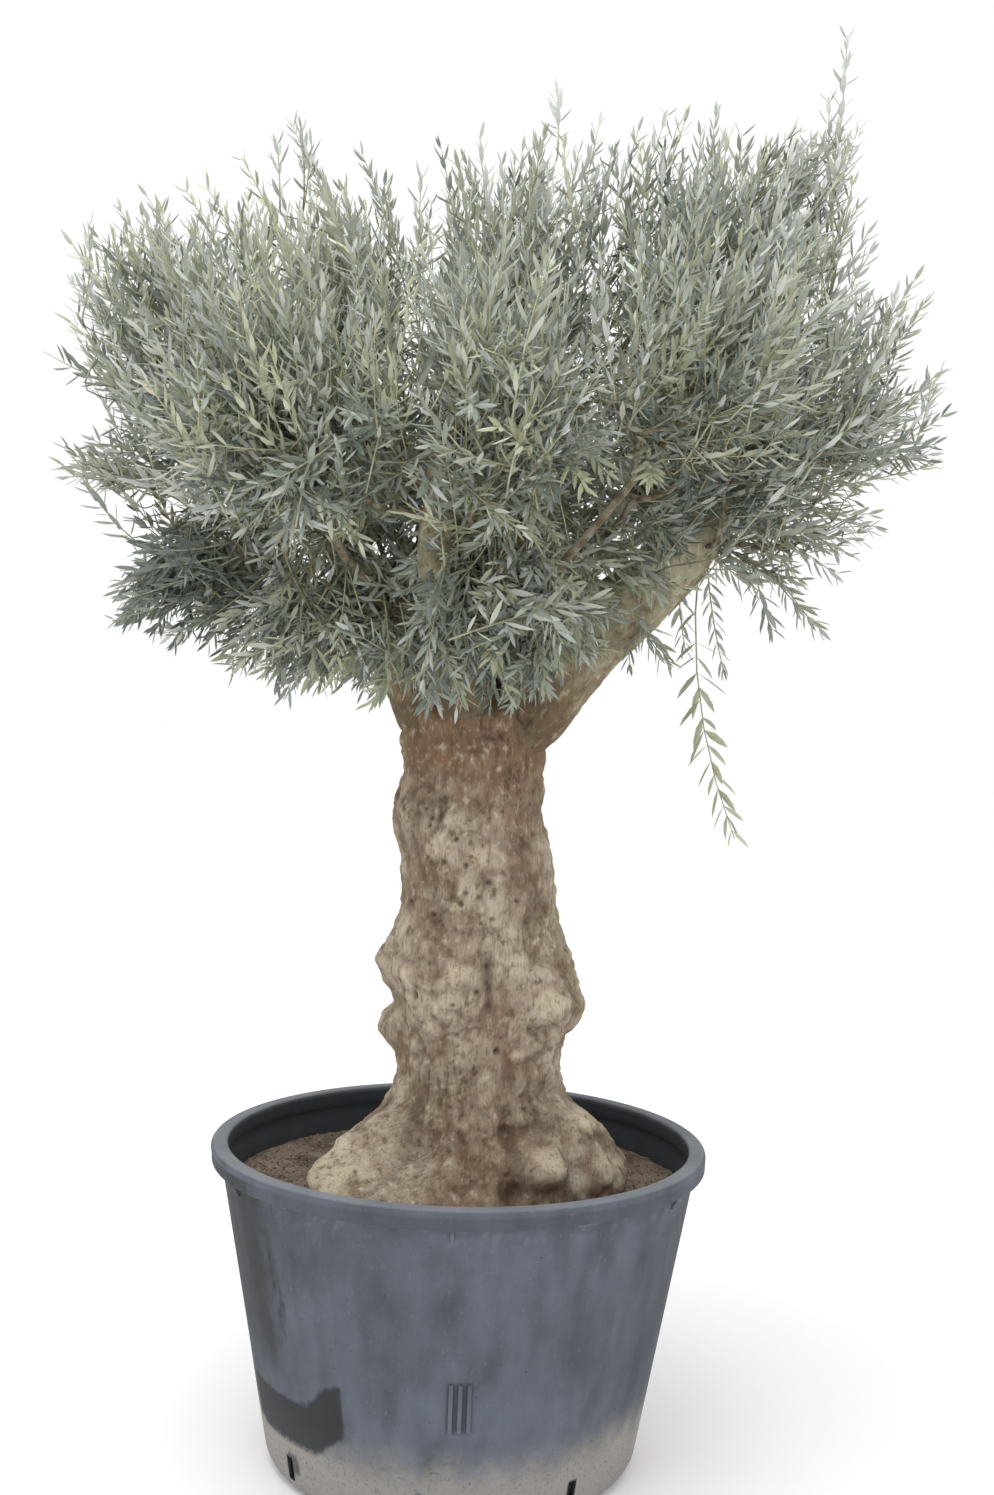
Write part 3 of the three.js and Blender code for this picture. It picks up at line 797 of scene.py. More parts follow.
@dataclass
class Soil:
    """The potting soil in the tub, with crumbs and a few straws lying on it. Sizes are in metres."""

    level: float = 540 * MM
    radius: float = 464 * MM
    depth: float = 525 * MM
    foot_radius: float = 345 * MM
    rings: int = 110
    around: int = 360
    crumbs: int = 3200
    straws: int = 90
    seed: int = 31

    def _heights(self, points: np.ndarray) -> np.ndarray:
        """Height of the surface: layered noise, and a low bank against the wall."""
        reach = np.hypot(points[:, 0], points[:, 1])
        lumps = 5 * MM * layered_noise(points, 60 * MM, self.seed, 3)
        crumble = 3.5 * MM * layered_noise(points, 14 * MM, self.seed + 5, 3)
        bank = 12 * MM * ease(reach, self.radius - 90 * MM, self.radius - 10 * MM)
        return self.level - 2 * MM + lumps + crumble + bank

    def _surface(self, finish: bpy.types.Material) -> bpy.types.Object:
        """The filling: an uneven top on a polar grid, closed by a wall and a floor."""
        angle = np.linspace(0, 2 * np.pi, self.around, endpoint=False)
        reach = np.concatenate(
            [[self.radius - 110 * MM, self.radius], np.linspace(self.radius, 20 * MM, self.rings)[1:]]
        )
        grid = np.stack([np.outer(reach, np.cos(angle)), np.outer(reach, np.sin(angle))], axis=-1)
        points = np.concatenate([grid, np.zeros(grid.shape[:2] + (1,))], axis=-1).reshape(-1, 3)
        points[:, 2] = self._heights(points)
        points[: self.around, 2] = self.level - self.depth
        points[self.around : 2 * self.around, 2] = self.level
        low, high = len(points), len(points) + 1
        points = np.concatenate([points, [[0, 0, self.level - self.depth], [0, 0, self.level]]])
        ring = np.arange(self.around)
        faces = [
            grid_quads(len(reach), self.around),
            fan(ring, low, False),
            fan((len(reach) - 1) * self.around + ring, high, True),
        ]
        return new_piece("soil_filling", points, faces, [finish])

    def _scatter(self, count: int, rng: np.random.Generator) -> np.ndarray:
        """Places spread evenly over the soil between the trunk's foot and the wall."""
        reach = np.sqrt(rng.uniform((150 * MM) ** 2, (self.radius - 12 * MM) ** 2, count))
        angle = rng.uniform(0, 2 * np.pi, count)
        points = np.stack([reach * np.cos(angle), reach * np.sin(angle), np.zeros(count)], axis=1)
        points[:, 2] = self._heights(points)
        return points

    def _crumbs(self, finishes: Sequence[bpy.types.Material]) -> bpy.types.Object:
        """Crumbs of soil and bark: octahedra with shaken corners, mostly 3 to 9 mm across."""
        rng = np.random.default_rng(self.seed)
        place = self._scatter(self.crumbs, rng)
        size = 1.6 * MM + 3.4 * MM * rng.beta(1.2, 4.0, self.crumbs)
        form = np.array([[1, 0, 0], [0, 1, 0], [-1, 0, 0], [0, -1, 0], [0, 0, 0.7], [0, 0, -0.7]], float)
        shape = form[None] * rng.uniform(0.6, 1.5, (self.crumbs, 6, 1))
        turn = rng.uniform(0, 2 * np.pi, self.crumbs)
        cosine, sine = np.cos(turn)[:, None], np.sin(turn)[:, None]
        x, y = shape[..., 0] * cosine - shape[..., 1] * sine, shape[..., 0] * sine + shape[..., 1] * cosine
        points = np.stack([x, y, shape[..., 2]], axis=-1) * size[:, None, None] + place[:, None, :]
        sides = [[0, 1, 4], [1, 2, 4], [2, 3, 4], [3, 0, 4], [1, 0, 5], [2, 1, 5], [3, 2, 5], [0, 3, 5]]
        faces = (np.array(sides)[None] + 6 * np.arange(self.crumbs)[:, None, None]).reshape(-1, 3)
        which = np.repeat(rng.choice(len(finishes), self.crumbs, p=[0.55, 0.35, 0.10]), 8)
        return new_piece(
            "soil_crumbs", points.reshape(-1, 3), [faces], finishes, which, smooth=False
        )

    def _straws(self, finish: bpy.types.Material) -> bpy.types.Object:
        """Dry stalks and roots that lie on the soil: thin three-sided rods, gently bent."""
        rng = np.random.default_rng(self.seed + 1)
        middle = self._scatter(self.straws, rng)
        turn = rng.uniform(0, 2 * np.pi, self.straws)
        length = rng.uniform(15 * MM, 55 * MM, self.straws)
        share = np.linspace(-0.5, 0.5, 5)
        way = np.stack([np.cos(turn), np.sin(turn), np.zeros(self.straws)], axis=1)
        across = np.stack([-np.sin(turn), np.cos(turn), np.zeros(self.straws)], axis=1)
        bend = rng.uniform(-0.35, 0.35, self.straws)
        path = middle[:, None] + length[:, None, None] * (
            share[None, :, None] * way[:, None] + (bend[:, None] * share**2)[..., None] * across[:, None]
        )
        path[..., 2] = self._heights(path.reshape(-1, 3)).reshape(path.shape[:2]) + 2 * MM
        radius = np.broadcast_to(np.array([0.5, 1.0, 1.0, 0.9, 0.4]) * 0.9 * MM, path.shape[:2])
        points, faces = rods(path, radius, 3)
        return new_piece("soil_straws", points, faces, [finish])

    def build(self) -> None:
        """Builds the soil and stands it in for its CAD node."""
        earth = PottingSoil("potting_soil", roughness=1.0, specular=0.15)
        filling = self._surface(earth.build())
        crumbs = [
            TwigBark("crumb_dark", roughness=1.0, specular=0.1, base="#564a40", mottle="#3d332b").build(),
            TwigBark("crumb_brown", roughness=1.0, specular=0.1, base="#877563", mottle="#665647").build(),
            TwigBark("crumb_pale", roughness=0.9, specular=0.2, base="#b3a592", mottle="#8d7f6c").build(),
        ]
        self._crumbs(crumbs)
        self._straws(TwigBark("dry_straw", roughness=0.8, base="#b9ab8b", mottle="#8f8060").build())
        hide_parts("soil")
        log.info("soil: filling, crumbs and straws")


# --------------------------------------------------------------------------------------- limbs and bark


def rods(path: np.ndarray, radius: np.ndarray, sides: int) -> tuple[np.ndarray, list[np.ndarray]]:
    """Many thin rods at once, each a regular section carried along its own path and closed at both ends.

    The section at a point is spanned by two directions square to the path: the cross product of the path's
    direction with one fixed direction for the whole rod, and the cross product of those two.

    Args:
        path: points, as rods by points by 3.
        radius: the radius at each of those points.
        sides: corners of the section.

    Returns:
        All corner places, and the arrays of faces.
    """
    count, steps = path.shape[:2]
    along = unit(np.gradient(path, axis=1))
    overall = unit(path[:, -1] - path[:, 0])
    helper = np.where(np.abs(overall[:, 2:]) < 0.9, [[0.0, 0.0, 1.0]], [[1.0, 0.0, 0.0]])
    first = unit(np.cross(along, np.broadcast_to(helper[:, None], along.shape)))
    second = np.cross(along, first)
    angle = 2 * np.pi * np.arange(sides) / sides
    ring = first[:, :, None] * np.cos(angle)[:, None] + second[:, :, None] * np.sin(angle)[:, None]
    points = path[:, :, None] + radius[:, :, None, None] * ring
    per_rod = steps * sides
    start = np.arange(count) * per_rod
    quads = (grid_quads(steps, sides)[None] + start[:, None, None]).reshape(-1, 4)
    corner = np.arange(sides)
    foot = (corner[::-1][None] + start[:, None]).reshape(-1, sides)
    tip = (corner[None] + start[:, None] + (steps - 1) * sides).reshape(-1, sides)
    return points.reshape(-1, 3), [quads, foot, tip]


@dataclass(frozen=True)
class Burl:
    """A swelling of the trunk, or a hollow where the swell is negative. Sizes are in millimetres."""

    bearing: float
    height: float
    swell: float
    spread: float
    rise: float

    def height_at(self, angle: np.ndarray, height: np.ndarray, radius: np.ndarray) -> np.ndarray:
        """How far it stands out: a bell curve of the distance along the bark and up.

        Args:
            angle: bearing of each place in radians.
            height: height of each place in metres.
            radius: the trunk's radius there in metres.

        Returns:
            The swelling at each place in metres.
        """
        along = turn_between(angle, math.radians(self.bearing)) * radius / (self.spread * MM)
        up = (height - self.height * MM) / (self.rise * MM)
        return self.swell * MM * np.exp(-(along**2 + up**2) / 2)


BURLS = (
    Burl(182, 1303, 32, 40, 36),
    Burl(184, 1008, 46, 62, 46),
    Burl(172, 862, 36, 34, 29),
    Burl(-118, 965, 24, 60, 55),
    Burl(-14, 922, 64, 72, 58),
    Burl(12, 1030, 30, 60, 60),
    Burl(-35, 1150, 16, 60, 60),
    Burl(-105, 1245, 14, 70, 60),
    Burl(5, 1480, 14, 60, 42),
    Burl(-4, 1205, 9, 60, 40),
    Burl(205, 610, 118, 66, 62),
    Burl(228, 568, 96, 52, 34),
    Burl(-8, 640, 104, 70, 62),
    Burl(-18, 560, 70, 62, 52),
    Burl(-60, 628, 62, 32, 30),
    Burl(-92, 560, 34, 90, 60),
    Burl(58, 590, 78, 66, 56),
    Burl(122, 600, 70, 60, 60),
    Burl(70, 905, 34, 64, 60),
    Burl(118, 1090, 28, 56, 52),
    Burl(50, 1260, 18, 50, 44),
)

# Smaller swellings and hollows that only the finished bark has: knots, clefts and the seams between burls.
FINE_BURLS = (
    Burl(-77, 1178, -12, 13, 10),
    Burl(-90, 1116, 7, 34, 7),
    Burl(-82, 1088, -8, 26, 9),
    Burl(-78, 1000, -24, 8, 42),
    Burl(-80, 926, -16, 14, 22),
    Burl(-38, 960, 14, 34, 34),
    Burl(-42, 892, -13, 36, 11),
    Burl(-134, 950, -12, 11, 10),
    Burl(-60, 840, 16, 15, 14),
    Burl(-73, 850, -12, 8, 18),
    Burl(-150, 1037, -10, 30, 8),
    Burl(-46, 1134, 11, 26, 24),
    Burl(-48, 1100, -9, 28, 8),
    Burl(-100, 985, 9, 26, 22),
    Burl(-110, 900, -8, 30, 10),
    Burl(-112, 1250, 6, 32, 26),
    Burl(-76, 1224, 7, 30, 22),
    Burl(-135, 1330, 9, 34, 26),
    Burl(-104, 1170, -5, 40, 8),
    Burl(-127, 640, -24, 12, 40),
    Burl(-130, 735, -10, 14, 30),
    Burl(-118, 640, -20, 9, 60),
    Burl(-148, 600, 26, 34, 34),
    Burl(-150, 622, 16, 22, 20),
    Burl(-135, 588, 15, 18, 16),
    Burl(-162, 662, 12, 20, 18),
    Burl(-150, 690, 26, 40, 18),
    Burl(-168, 640, -14, 12, 40),
    Burl(-70, 590, -30, 12, 30),
    Burl(-66, 668, -32, 11, 36),
    Burl(-53, 644, 18, 20, 19),
    Burl(-53, 690, -18, 34, 9),
    Burl(-40, 645, -18, 9, 34),
    Burl(-30, 692, 24, 34, 18),
    Burl(-28, 747, -16, 44, 14),
    Burl(-20, 585, -16, 12, 30),
    Burl(-18, 655, -12, 9, 30),
    Burl(-112, 640, 7, 18, 60),
    Burl(-84, 650, 6, 16, 70),
    Burl(-97, 700, -6, 10, 70),
    Burl(60, 1010, -14, 12, 60),
    Burl(100, 760, -12, 14, 80),
    Burl(30, 860, -9, 16, 40),
    Burl(150, 1180, 12, 32, 26),
    Burl(90, 1360, 12, 40, 30),
    Burl(-62, 1440, 8, 26, 44),
    Burl(-112, 1450, 7, 24, 48),
    Burl(-88, 1470, -8, 12, 50),
)

# Dark holes that borers and dead twigs left: bearing, height and width in millimetres.
PITS = (
    (-124, 1300, 8), (-125, 1286, 7), (-102, 1262, 6), (-112, 1216, 7), (-95, 1212, 7), (-77, 1178, 11),
    (-96, 1156, 8), (-100, 1134, 9), (-124, 1110, 7), (-76, 1108, 8), (-58, 1144, 7), (-84, 1098, 5),
    (-88, 965, 7), (-73, 848, 9), (-134, 950, 9), (-104, 940, 5), (40, 1180, 8), (75, 1120, 7),
    (130, 1240, 8), (160, 940, 7), (110, 980, 9), (20, 1300, 6), (-150, 1130, 6), (-30, 1330, 5),
)


# Browner bark: bearing, height, breadth and rise in millimetres, and how much browner.
STAINS = (
    (-92, 640, 72, 110, 0.55), (-78, 926, 30, 26, 0.6), (-70, 870, 40, 46, 0.45), (-52, 1230, 26, 90, 0.5),
    (-100, 1050, 60, 30, 0.35), (-60, 1330, 60, 60, 0.45), (-128, 1180, 30, 60, 0.35),
    (60, 800, 90, 160, 0.4),
    (150, 1150, 60, 120, 0.4),
)


@dataclass
class BarkRelief:
    """Carves bark into a limb's skin and says where it is cracked, healed, stained or green, and where shade
    is painted into its valleys.
    """

    seed: int
    lump: float = 16 * MM  # height of the lumps
    cork: float = 3.2 * MM  # height of the corky plates
    fissure: float = 4.0 * MM  # depth of the long cracks

    def carve(
        self, points: np.ndarray, outward: np.ndarray, straight: np.ndarray, healed: np.ndarray,
        pits: np.ndarray
    ) -> tuple[np.ndarray, dict[str, np.ndarray]]:
        """Moves the skin in and out along its own outward direction.

        The relief is lumps plus fibres, less cracks. A crack follows the line where one layer of noise
        passes through zero, so it winds up the limb, and both are drawn out along the limb.

        Args:
            points: places on the smooth skin.
            outward: the direction away from the limb's middle at each.
            straight: the same places on the limb unbent along Z, which the pattern follows.
            healed: where the bark is smooth, from 0 to 1.
            pits: where holes are, from 0 to 1.

        Returns:
            The moved places, and the attributes that the bark's finish reads.
        """
        lumps = layered_noise(straight, (62 * MM, 62 * MM, 66 * MM), self.seed, 4)
        plates = layered_noise(straight, (14 * MM, 14 * MM, 24 * MM), self.seed + 10, 3)
        knobs = np.abs(layered_noise(straight, (44 * MM, 44 * MM, 50 * MM), self.seed + 15, 2))
        fibres = noise(straight, (4.5 * MM, 4.5 * MM, 22 * MM), self.seed + 20)
        wander = straight + 6 * MM * np.stack(
            [noise(straight, 24 * MM, self.seed + 30 + i) for i in range(3)], axis=1
        )
        line = np.abs(layered_noise(wander, (15 * MM, 15 * MM, 62 * MM), self.seed + 40, 3))
        where = ease(layered_noise(straight, 90 * MM, self.seed + 50, 2), -0.2, 0.3)
        crack_and_shade = (1.0 - ease(line, 0.0, 0.1)) * (0.2 + 0.8 * where)
        rough = 1.0 - 0.8 * healed
        height = (
            self.lump * (lumps + 0.9 * knobs - 0.25)
            + rough * (self.cork * plates + 0.8 * MM * fibres - self.fissure * crack_and_shade)
        )
        height = height - 8 * MM * pits
        stain = ease(layered_noise(straight, 75 * MM, self.seed + 60, 4), 0.12, 0.6)
        algae = ease(layered_noise(straight, 55 * MM, self.seed + 70, 3), 0.2, 0.7)
        # The crack colour also paints shade into the valleys between lumps and between knobs.
        marks = {
            "crack_and_shade": np.clip(
                0.35 * crack_and_shade * rough + 0.8 * pits + 0.55 * ease(-lumps, 0.12, 0.7)
                + 0.2 * ease(-knobs, -0.12, 0.0), 0, 1
            ),
            "raised": ease(lumps + knobs, -0.1, 0.6),
            "healed": 0.8 * healed * (1.0 - pits),
            "stain": 0.6 * stain * rough,
            "algae": 0.35 * algae,
        }
        return points + outward * height[:, None], marks


@dataclass
class Trunk:
    """The burled trunk from the soil to the fork. Sizes are in metres."""

    foot: float = 540 * MM
    sunk: float = 6 * MM
    fork_height: float = 1500 * MM
    crown_height: float = 1550 * MM
    foot_centre: tuple[float, float] = (38 * MM, 0.0)
    fork_centre: tuple[float, float] = (2 * MM, 6 * MM)
    foot_radius: float = 168 * MM
    waist_radius: float = 139 * MM
    waist_height: float = 1385 * MM
    depth_ratio: float = 0.95
    flare: float = 30 * MM
    flare_height: float = 70 * MM
    flutes: int = 5
    flute_depth: float = 3.5 * MM
    around: int = 290
    up: int = 270
    dome: int = 18
    healed_patches: tuple[tuple[float, float, float, float], ...] = (
        (-112, 1250, 36, 28), (-76, 1224, 34, 26), (-60, 840, 16, 14), (-53, 646, 26, 21), (-40, 945, 40, 28),
        (-105, 1128, 30, 10), (-125, 1150, 30, 14), (215, 600, 70, 44), (30, 1100, 50, 60),
        (120, 1300, 60, 50),
        (80, 900, 50, 40), (170, 1290, 40, 30), (-20, 620, 40, 40), (175, 1010, 40, 36), (-140, 985, 30, 24),
        (-152, 630, 50, 44), (-146, 580, 40, 26), (-20, 700, 50, 26), (-100, 1000, 26, 22),
        (-125, 890, 26, 20),
    )
    seed: int = 51

    def _radius(self, angle: np.ndarray, height: np.ndarray) -> np.ndarray:
        """Distance of the bark from the trunk's middle: a tapering oval, root flare, flutes and burls."""
        taper = (height - self.foot) / (self.waist_height - self.foot)
        oval = 1.0 + (self.depth_ratio - 1.0) * np.sin(angle) ** 2
        body = (self.foot_radius + (self.waist_radius - self.foot_radius) * taper) * oval
        spread = self.flare * np.exp(-(height - self.foot) / self.flare_height)
        fluting = self.flute_depth * np.sin(self.flutes * angle + height / (160 * MM))
        swell = sum(burl.height_at(angle, height, body) for burl in BURLS + FINE_BURLS)
        return body + spread + fluting + swell

    def _marks(
        self, angle: np.ndarray, height: np.ndarray, radius: np.ndarray
    ) -> tuple[np.ndarray, np.ndarray]:
        """Where the bark is healed over and where it has holes.

        Args:
            angle: bearing of each place in radians.
            height: height of each place.
            radius: the trunk's radius at each place.

        Returns:
            Two shares from 0 to 1 for each place.
        """
        healed = np.zeros(len(angle))
        for bearing, level, wide, tall in self.healed_patches:
            patch = Burl(bearing, level, 1000.0, wide, tall).height_at(angle, height, radius)
            healed = np.maximum(healed, patch)
        around = np.stack([radius * np.cos(angle), radius * np.sin(angle), height], axis=1)
        ragged = 0.3 * layered_noise(around, 30 * MM, self.seed + 90, 3)
        healed = ease(healed + ragged, 0.4, 0.95)
        pits = np.zeros(len(angle))
        for bearing, level, width in PITS:
            hole = Burl(bearing, level, 1000.0, width * 0.7, width * 0.7).height_at(angle, height, radius)
            pits = np.maximum(pits, hole)
        return healed, ease(pits + 0.5 * ragged, 0.3, 1.1)

    def build(self, finish: bpy.types.Material) -> None:
        """Builds the trunk and stands it in for its CAD node.

        Args:
            finish: the old bark.
        """
        angle = np.linspace(0, 2 * np.pi, self.around, endpoint=False)
        level = np.linspace(self.foot, self.fork_height, self.up)
        share, rise = np.ones(self.up), np.zeros(self.up)
        tilt = np.radians(np.linspace(0, 84, self.dome + 1)[1:])
        level = np.concatenate([level, np.full(self.dome, self.fork_height)])
        share = np.concatenate([share, np.cos(tilt)])
        rise = np.concatenate([rise, (self.crown_height - self.fork_height) * np.sin(tilt)])
        rows = len(level)
        turn = np.tile(angle, rows)
        height = np.repeat(level, self.around)
        radius = self._radius(turn, height)
        lean = ((height - self.foot) / (self.fork_height - self.foot))[:, None]
        middle = np.array(self.foot_centre) * (1 - lean) + np.array(self.fork_centre) * lean
        outward = np.stack([np.cos(turn), np.sin(turn), np.zeros(len(turn))], axis=1)
        closing = np.repeat(share, self.around)
        points = outward * (radius * closing)[:, None]
        points[:, :2] += middle
        points[:, 2] = height + np.repeat(rise, self.around)
        healed, pits = self._marks(turn, height, radius)
        straight = np.stack([radius * np.cos(turn), radius * np.sin(turn), points[:, 2]], axis=1)
        points, marks = BarkRelief(self.seed).carve(
            points, outward * closing[:, None], straight, healed, pits
        )
        points[: self.around, 2] = self.foot - self.sunk
        old = ease(points[:, 2], 1.3, 1.46)
        marks["stain"] = np.clip(marks["stain"] + 0.9 * old, 0, 1)
        grit = 1.0 - ease(points[:, 2], self.foot, self.foot + 45 * MM)
        marks["stain"] = np.clip(marks["stain"] + 0.5 * grit, 0, 1)
        for bearing, rise, wide, tall, browner in STAINS:
            patch = Burl(bearing, rise, 1000.0, wide, tall).height_at(turn, height, radius)
            marks["stain"] = np.clip(marks["stain"] + browner * patch, 0, 1)
        # Painted shade: the hollows and clefts of the fine burls are darkened with the crack colour.
        hollows = sum(b.height_at(turn, height, radius) for b in FINE_BURLS if b.swell < 0)
        marks["crack_and_shade"] = np.clip(marks["crack_and_shade"] + 0.5 * ease(-hollows, 6 * MM, 32 * MM), 0, 1)
        edge = ease(np.abs(turn_between(turn, math.radians(-90))), 1.15, 1.6)
        marks["algae"] = np.clip(marks["algae"] + 0.28 * edge, 0, 1)
        foot, top = len(points), len(points) + 1
        ends = [[*self.foot_centre, self.foot - self.sunk], [*self.fork_centre, self.crown_height]]
        points = np.concatenate([points, ends])
        marks = {key: np.concatenate([values, [0.0, 0.0]]) for key, values in marks.items()}
        ring = np.arange(self.around)
        faces = [
            grid_quads(rows, self.around), fan(ring, foot, False),
            fan((rows - 1) * self.around + ring, top, True)
        ]
        trunk = new_piece("trunk_bark", points, faces, [finish], attributes=marks)
        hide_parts("trunk")
        log.info("trunk: bark relief with %d burls and %d holes", len(BURLS + FINE_BURLS), len(PITS))


def smooth_path(knots: np.ndarray, steps: int) -> tuple[np.ndarray, np.ndarray]:
    """A smooth curve through knots, with points evenly spaced along it.

    Between two knots the curve is the cubic whose ends have the slopes of the lines that join each knot's
    neighbours (a Catmull-Rom curve).

    Args:
        knots: the points that the curve passes through.
        steps: how many points to return.

    Returns:
        The points, and how far along the list of knots each lies.
    """
    padded = np.concatenate([[2 * knots[0] - knots[1]], knots, [2 * knots[-1] - knots[-2]]])
    fine = np.linspace(0, len(knots) - 1, 400)
    span = np.minimum(fine.astype(int), len(knots) - 2)
    t = (fine - span)[:, None]
    before, start, end, after = (padded[span + i] for i in range(4))
    curve = 0.5 * (
        2 * start + (end - before) * t + (2 * before - 5 * start + 4 * end - after) * t**2
        + (3 * start - before - 3 * end + after) * t**3
    )
    gone = np.concatenate([[0.0], np.cumsum(np.linalg.norm(np.diff(curve, axis=0), axis=1))])
    even = np.linspace(0, gone[-1], steps)
    points = np.stack([np.interp(even, gone, curve[:, i]) for i in range(3)], axis=1)
    return points, np.interp(even, gone, fine)


@dataclass
class Bough:
    """A thick limb that leaves the fork and ends inside the foliage. Sizes are in millimetres."""

    name: str
    knots: tuple[tuple[float, float, float], ...]
    radii: tuple[float, ...]
    seed: int
    around: int = 64
    along: int = 130

    def path(self, steps: int) -> tuple[np.ndarray, np.ndarray]:
        """The limb's middle line and its radius at each of its points, in metres."""
        points, place = smooth_path(np.array(self.knots) * MM, steps)
        radius = np.interp(place, np.arange(len(self.radii)), np.array(self.radii)) * MM
        return points, radius

    def build(self, finish: bpy.types.Material) -> None:
        """Builds the limb and stands it in for its CAD node.

        Args:
            finish: the old bark.
        """
        path, radius = self.path(self.along)
        share = np.linspace(0, 1, self.along)
        collar = 1.0 - 0.22 * np.exp(-((share / 0.09) ** 2))
        ahead = unit(np.gradient(path, axis=0))
        side = unit(np.cross(ahead, [0.0, 1.0, 0.15]))
        back = np.cross(ahead, side)
        angle = np.linspace(0, 2 * np.pi, self.around, endpoint=False)
        outward = side[:, None] * np.cos(angle)[:, None] + back[:, None] * np.sin(angle)[:, None]
        gone = np.concatenate([[0.0], np.cumsum(np.linalg.norm(np.diff(path, axis=0), axis=1))])
        unrolled = np.stack(
            [
                np.outer(radius, np.cos(angle)), np.outer(radius, np.sin(angle)),
                np.repeat(gone[:, None], self.around, 1)
            ],
            axis=-1,
        ).reshape(-1, 3)
        knobs = 1.0 + 0.10 * layered_noise(unrolled, 90 * MM, self.seed, 2).reshape(self.along, self.around)
        closing = np.sqrt(np.clip((1.0 - share) / 0.03, 0.0, 1.0))
        reach = (radius * collar * closing)[:, None] * knobs
        points = (path[:, None] + outward * reach[..., None]).reshape(-1, 3)
        nothing = np.zeros(len(points))
        healed = 0.6 * ease(layered_noise(unrolled, 80 * MM, self.seed + 3, 2), 0.1, 0.5)
        skin = BarkRelief(self.seed, lump=5 * MM, cork=1.6 * MM, fissure=2.2 * MM)
        away = (outward * closing[:, None, None]).reshape(-1, 3)
        points, marks = skin.carve(points, away, unrolled, healed, nothing)
        marks["algae"] = np.clip(marks["algae"] + 0.3, 0, 1)
        marks["raised"] = np.clip(marks["raised"] + 0.2, 0, 1)
        marks["stain"] = np.clip(marks["stain"] + np.repeat(1 - ease(share, 0.1, 0.42), self.around), 0, 1)
        # Painted shade: the crack colour darkens the bark towards its foot, where the fork and the leaves over
        # it shade it.
        marks["crack_and_shade"] = np.clip(
            marks["crack_and_shade"] + np.repeat(0.45 * (1 - ease(share, 0.05, 0.3)), self.around), 0, 1
        )
        foot, tip = len(points), len(points) + 1
        points = np.concatenate([points, path[[0, -1]]])
        marks = {key: np.concatenate([values, [0.0, 0.0]]) for key, values in marks.items()}
        ring = np.arange(self.around)
        last = (self.along - 1) * self.around + ring
        faces = [grid_quads(self.along, self.around), fan(ring, foot, False), fan(last, tip, True)]
        piece = new_piece(self.name + "_bark", points, faces, [finish], attributes=marks)
        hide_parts(self.name)


BOUGHS = (
    Bough(
        "bough_right",
        ((62, 0, 1440), (196, -8, 1622), (372, -16, 1800), (462, -12, 1925), (520, 0, 2060)),
        (92, 78, 67, 56, 36),
        seed=61,
    ),
    Bough(
        "bough_left",
        ((-38, 0, 1440), (-138, -6, 1600), (-232, -22, 1748), (-275, -30, 1925), (-330, -20, 2110)),
        (86, 60, 48, 43, 30),
        seed=62,
    ),
    Bough(
        "bough_centre", ((18, 30, 1440), (28, 62, 1690), (-8, 84, 1930), (10, 70, 2190)), (80, 58, 47, 32),
        seed=63
    ),
    Bough(
        "bough_back", ((40, 40, 1440), (84, 176, 1618), (120, 302, 1790), (150, 400, 2000)),
        (74, 52, 42, 29), seed=64
    ),
    Bough(
        "bough_front", ((0, -44, 1450), (-34, -158, 1640), (-70, -268, 1800), (-60, -350, 1990)),
        (62, 44, 36, 26), seed=65
    ),
)


# ------------------------------------------------------------------------------------------------- foliage


class Tint(Enum):
    """Kinds of olive foliage: colours of a leaf's upper face and underside, above and in its shaded spots.
    DEEP and SHADED are darker copies that paint shade: inside and low in the crown, low on the left and deep
    in the clumps.
    """

    GREY_GREEN = ("#9ba39a", "#8a9387", "#c9ccc5", "#babdb5")
    OLIVE = ("#999f86", "#898f75", "#c2c5b5", "#b2b5a4")
    SILVER = ("#b0b7b0", "#a1a8a0", "#d4d7d2", "#c5c8c3")
    DEEP = ("#78827a", "#6a7367", "#a9aea5", "#999f96")
    NEW_GROWTH = ("#aeb194", "#9fa285", "#cbccb8", "#bcbda8")
    SHADED = ("#606a63", "#535d54", "#8d938a", "#80887e")


class Habit(Enum):
    """How a shoot grows: length, spacing of leaf pairs and leaf length in metres, and leaf lean in degrees."""

    ERECT = (0.33, 0.021, 0.046, 33.0)
    SPREADING = (0.26, 0.019, 0.046, 42.0)
    DROOPING = (0.22, 0.019, 0.047, 42.0)
    HANGING = (0.40, 0.030, 0.062, 48.0)
    ARCHING = (0.45, 0.027, 0.048, 44.0)


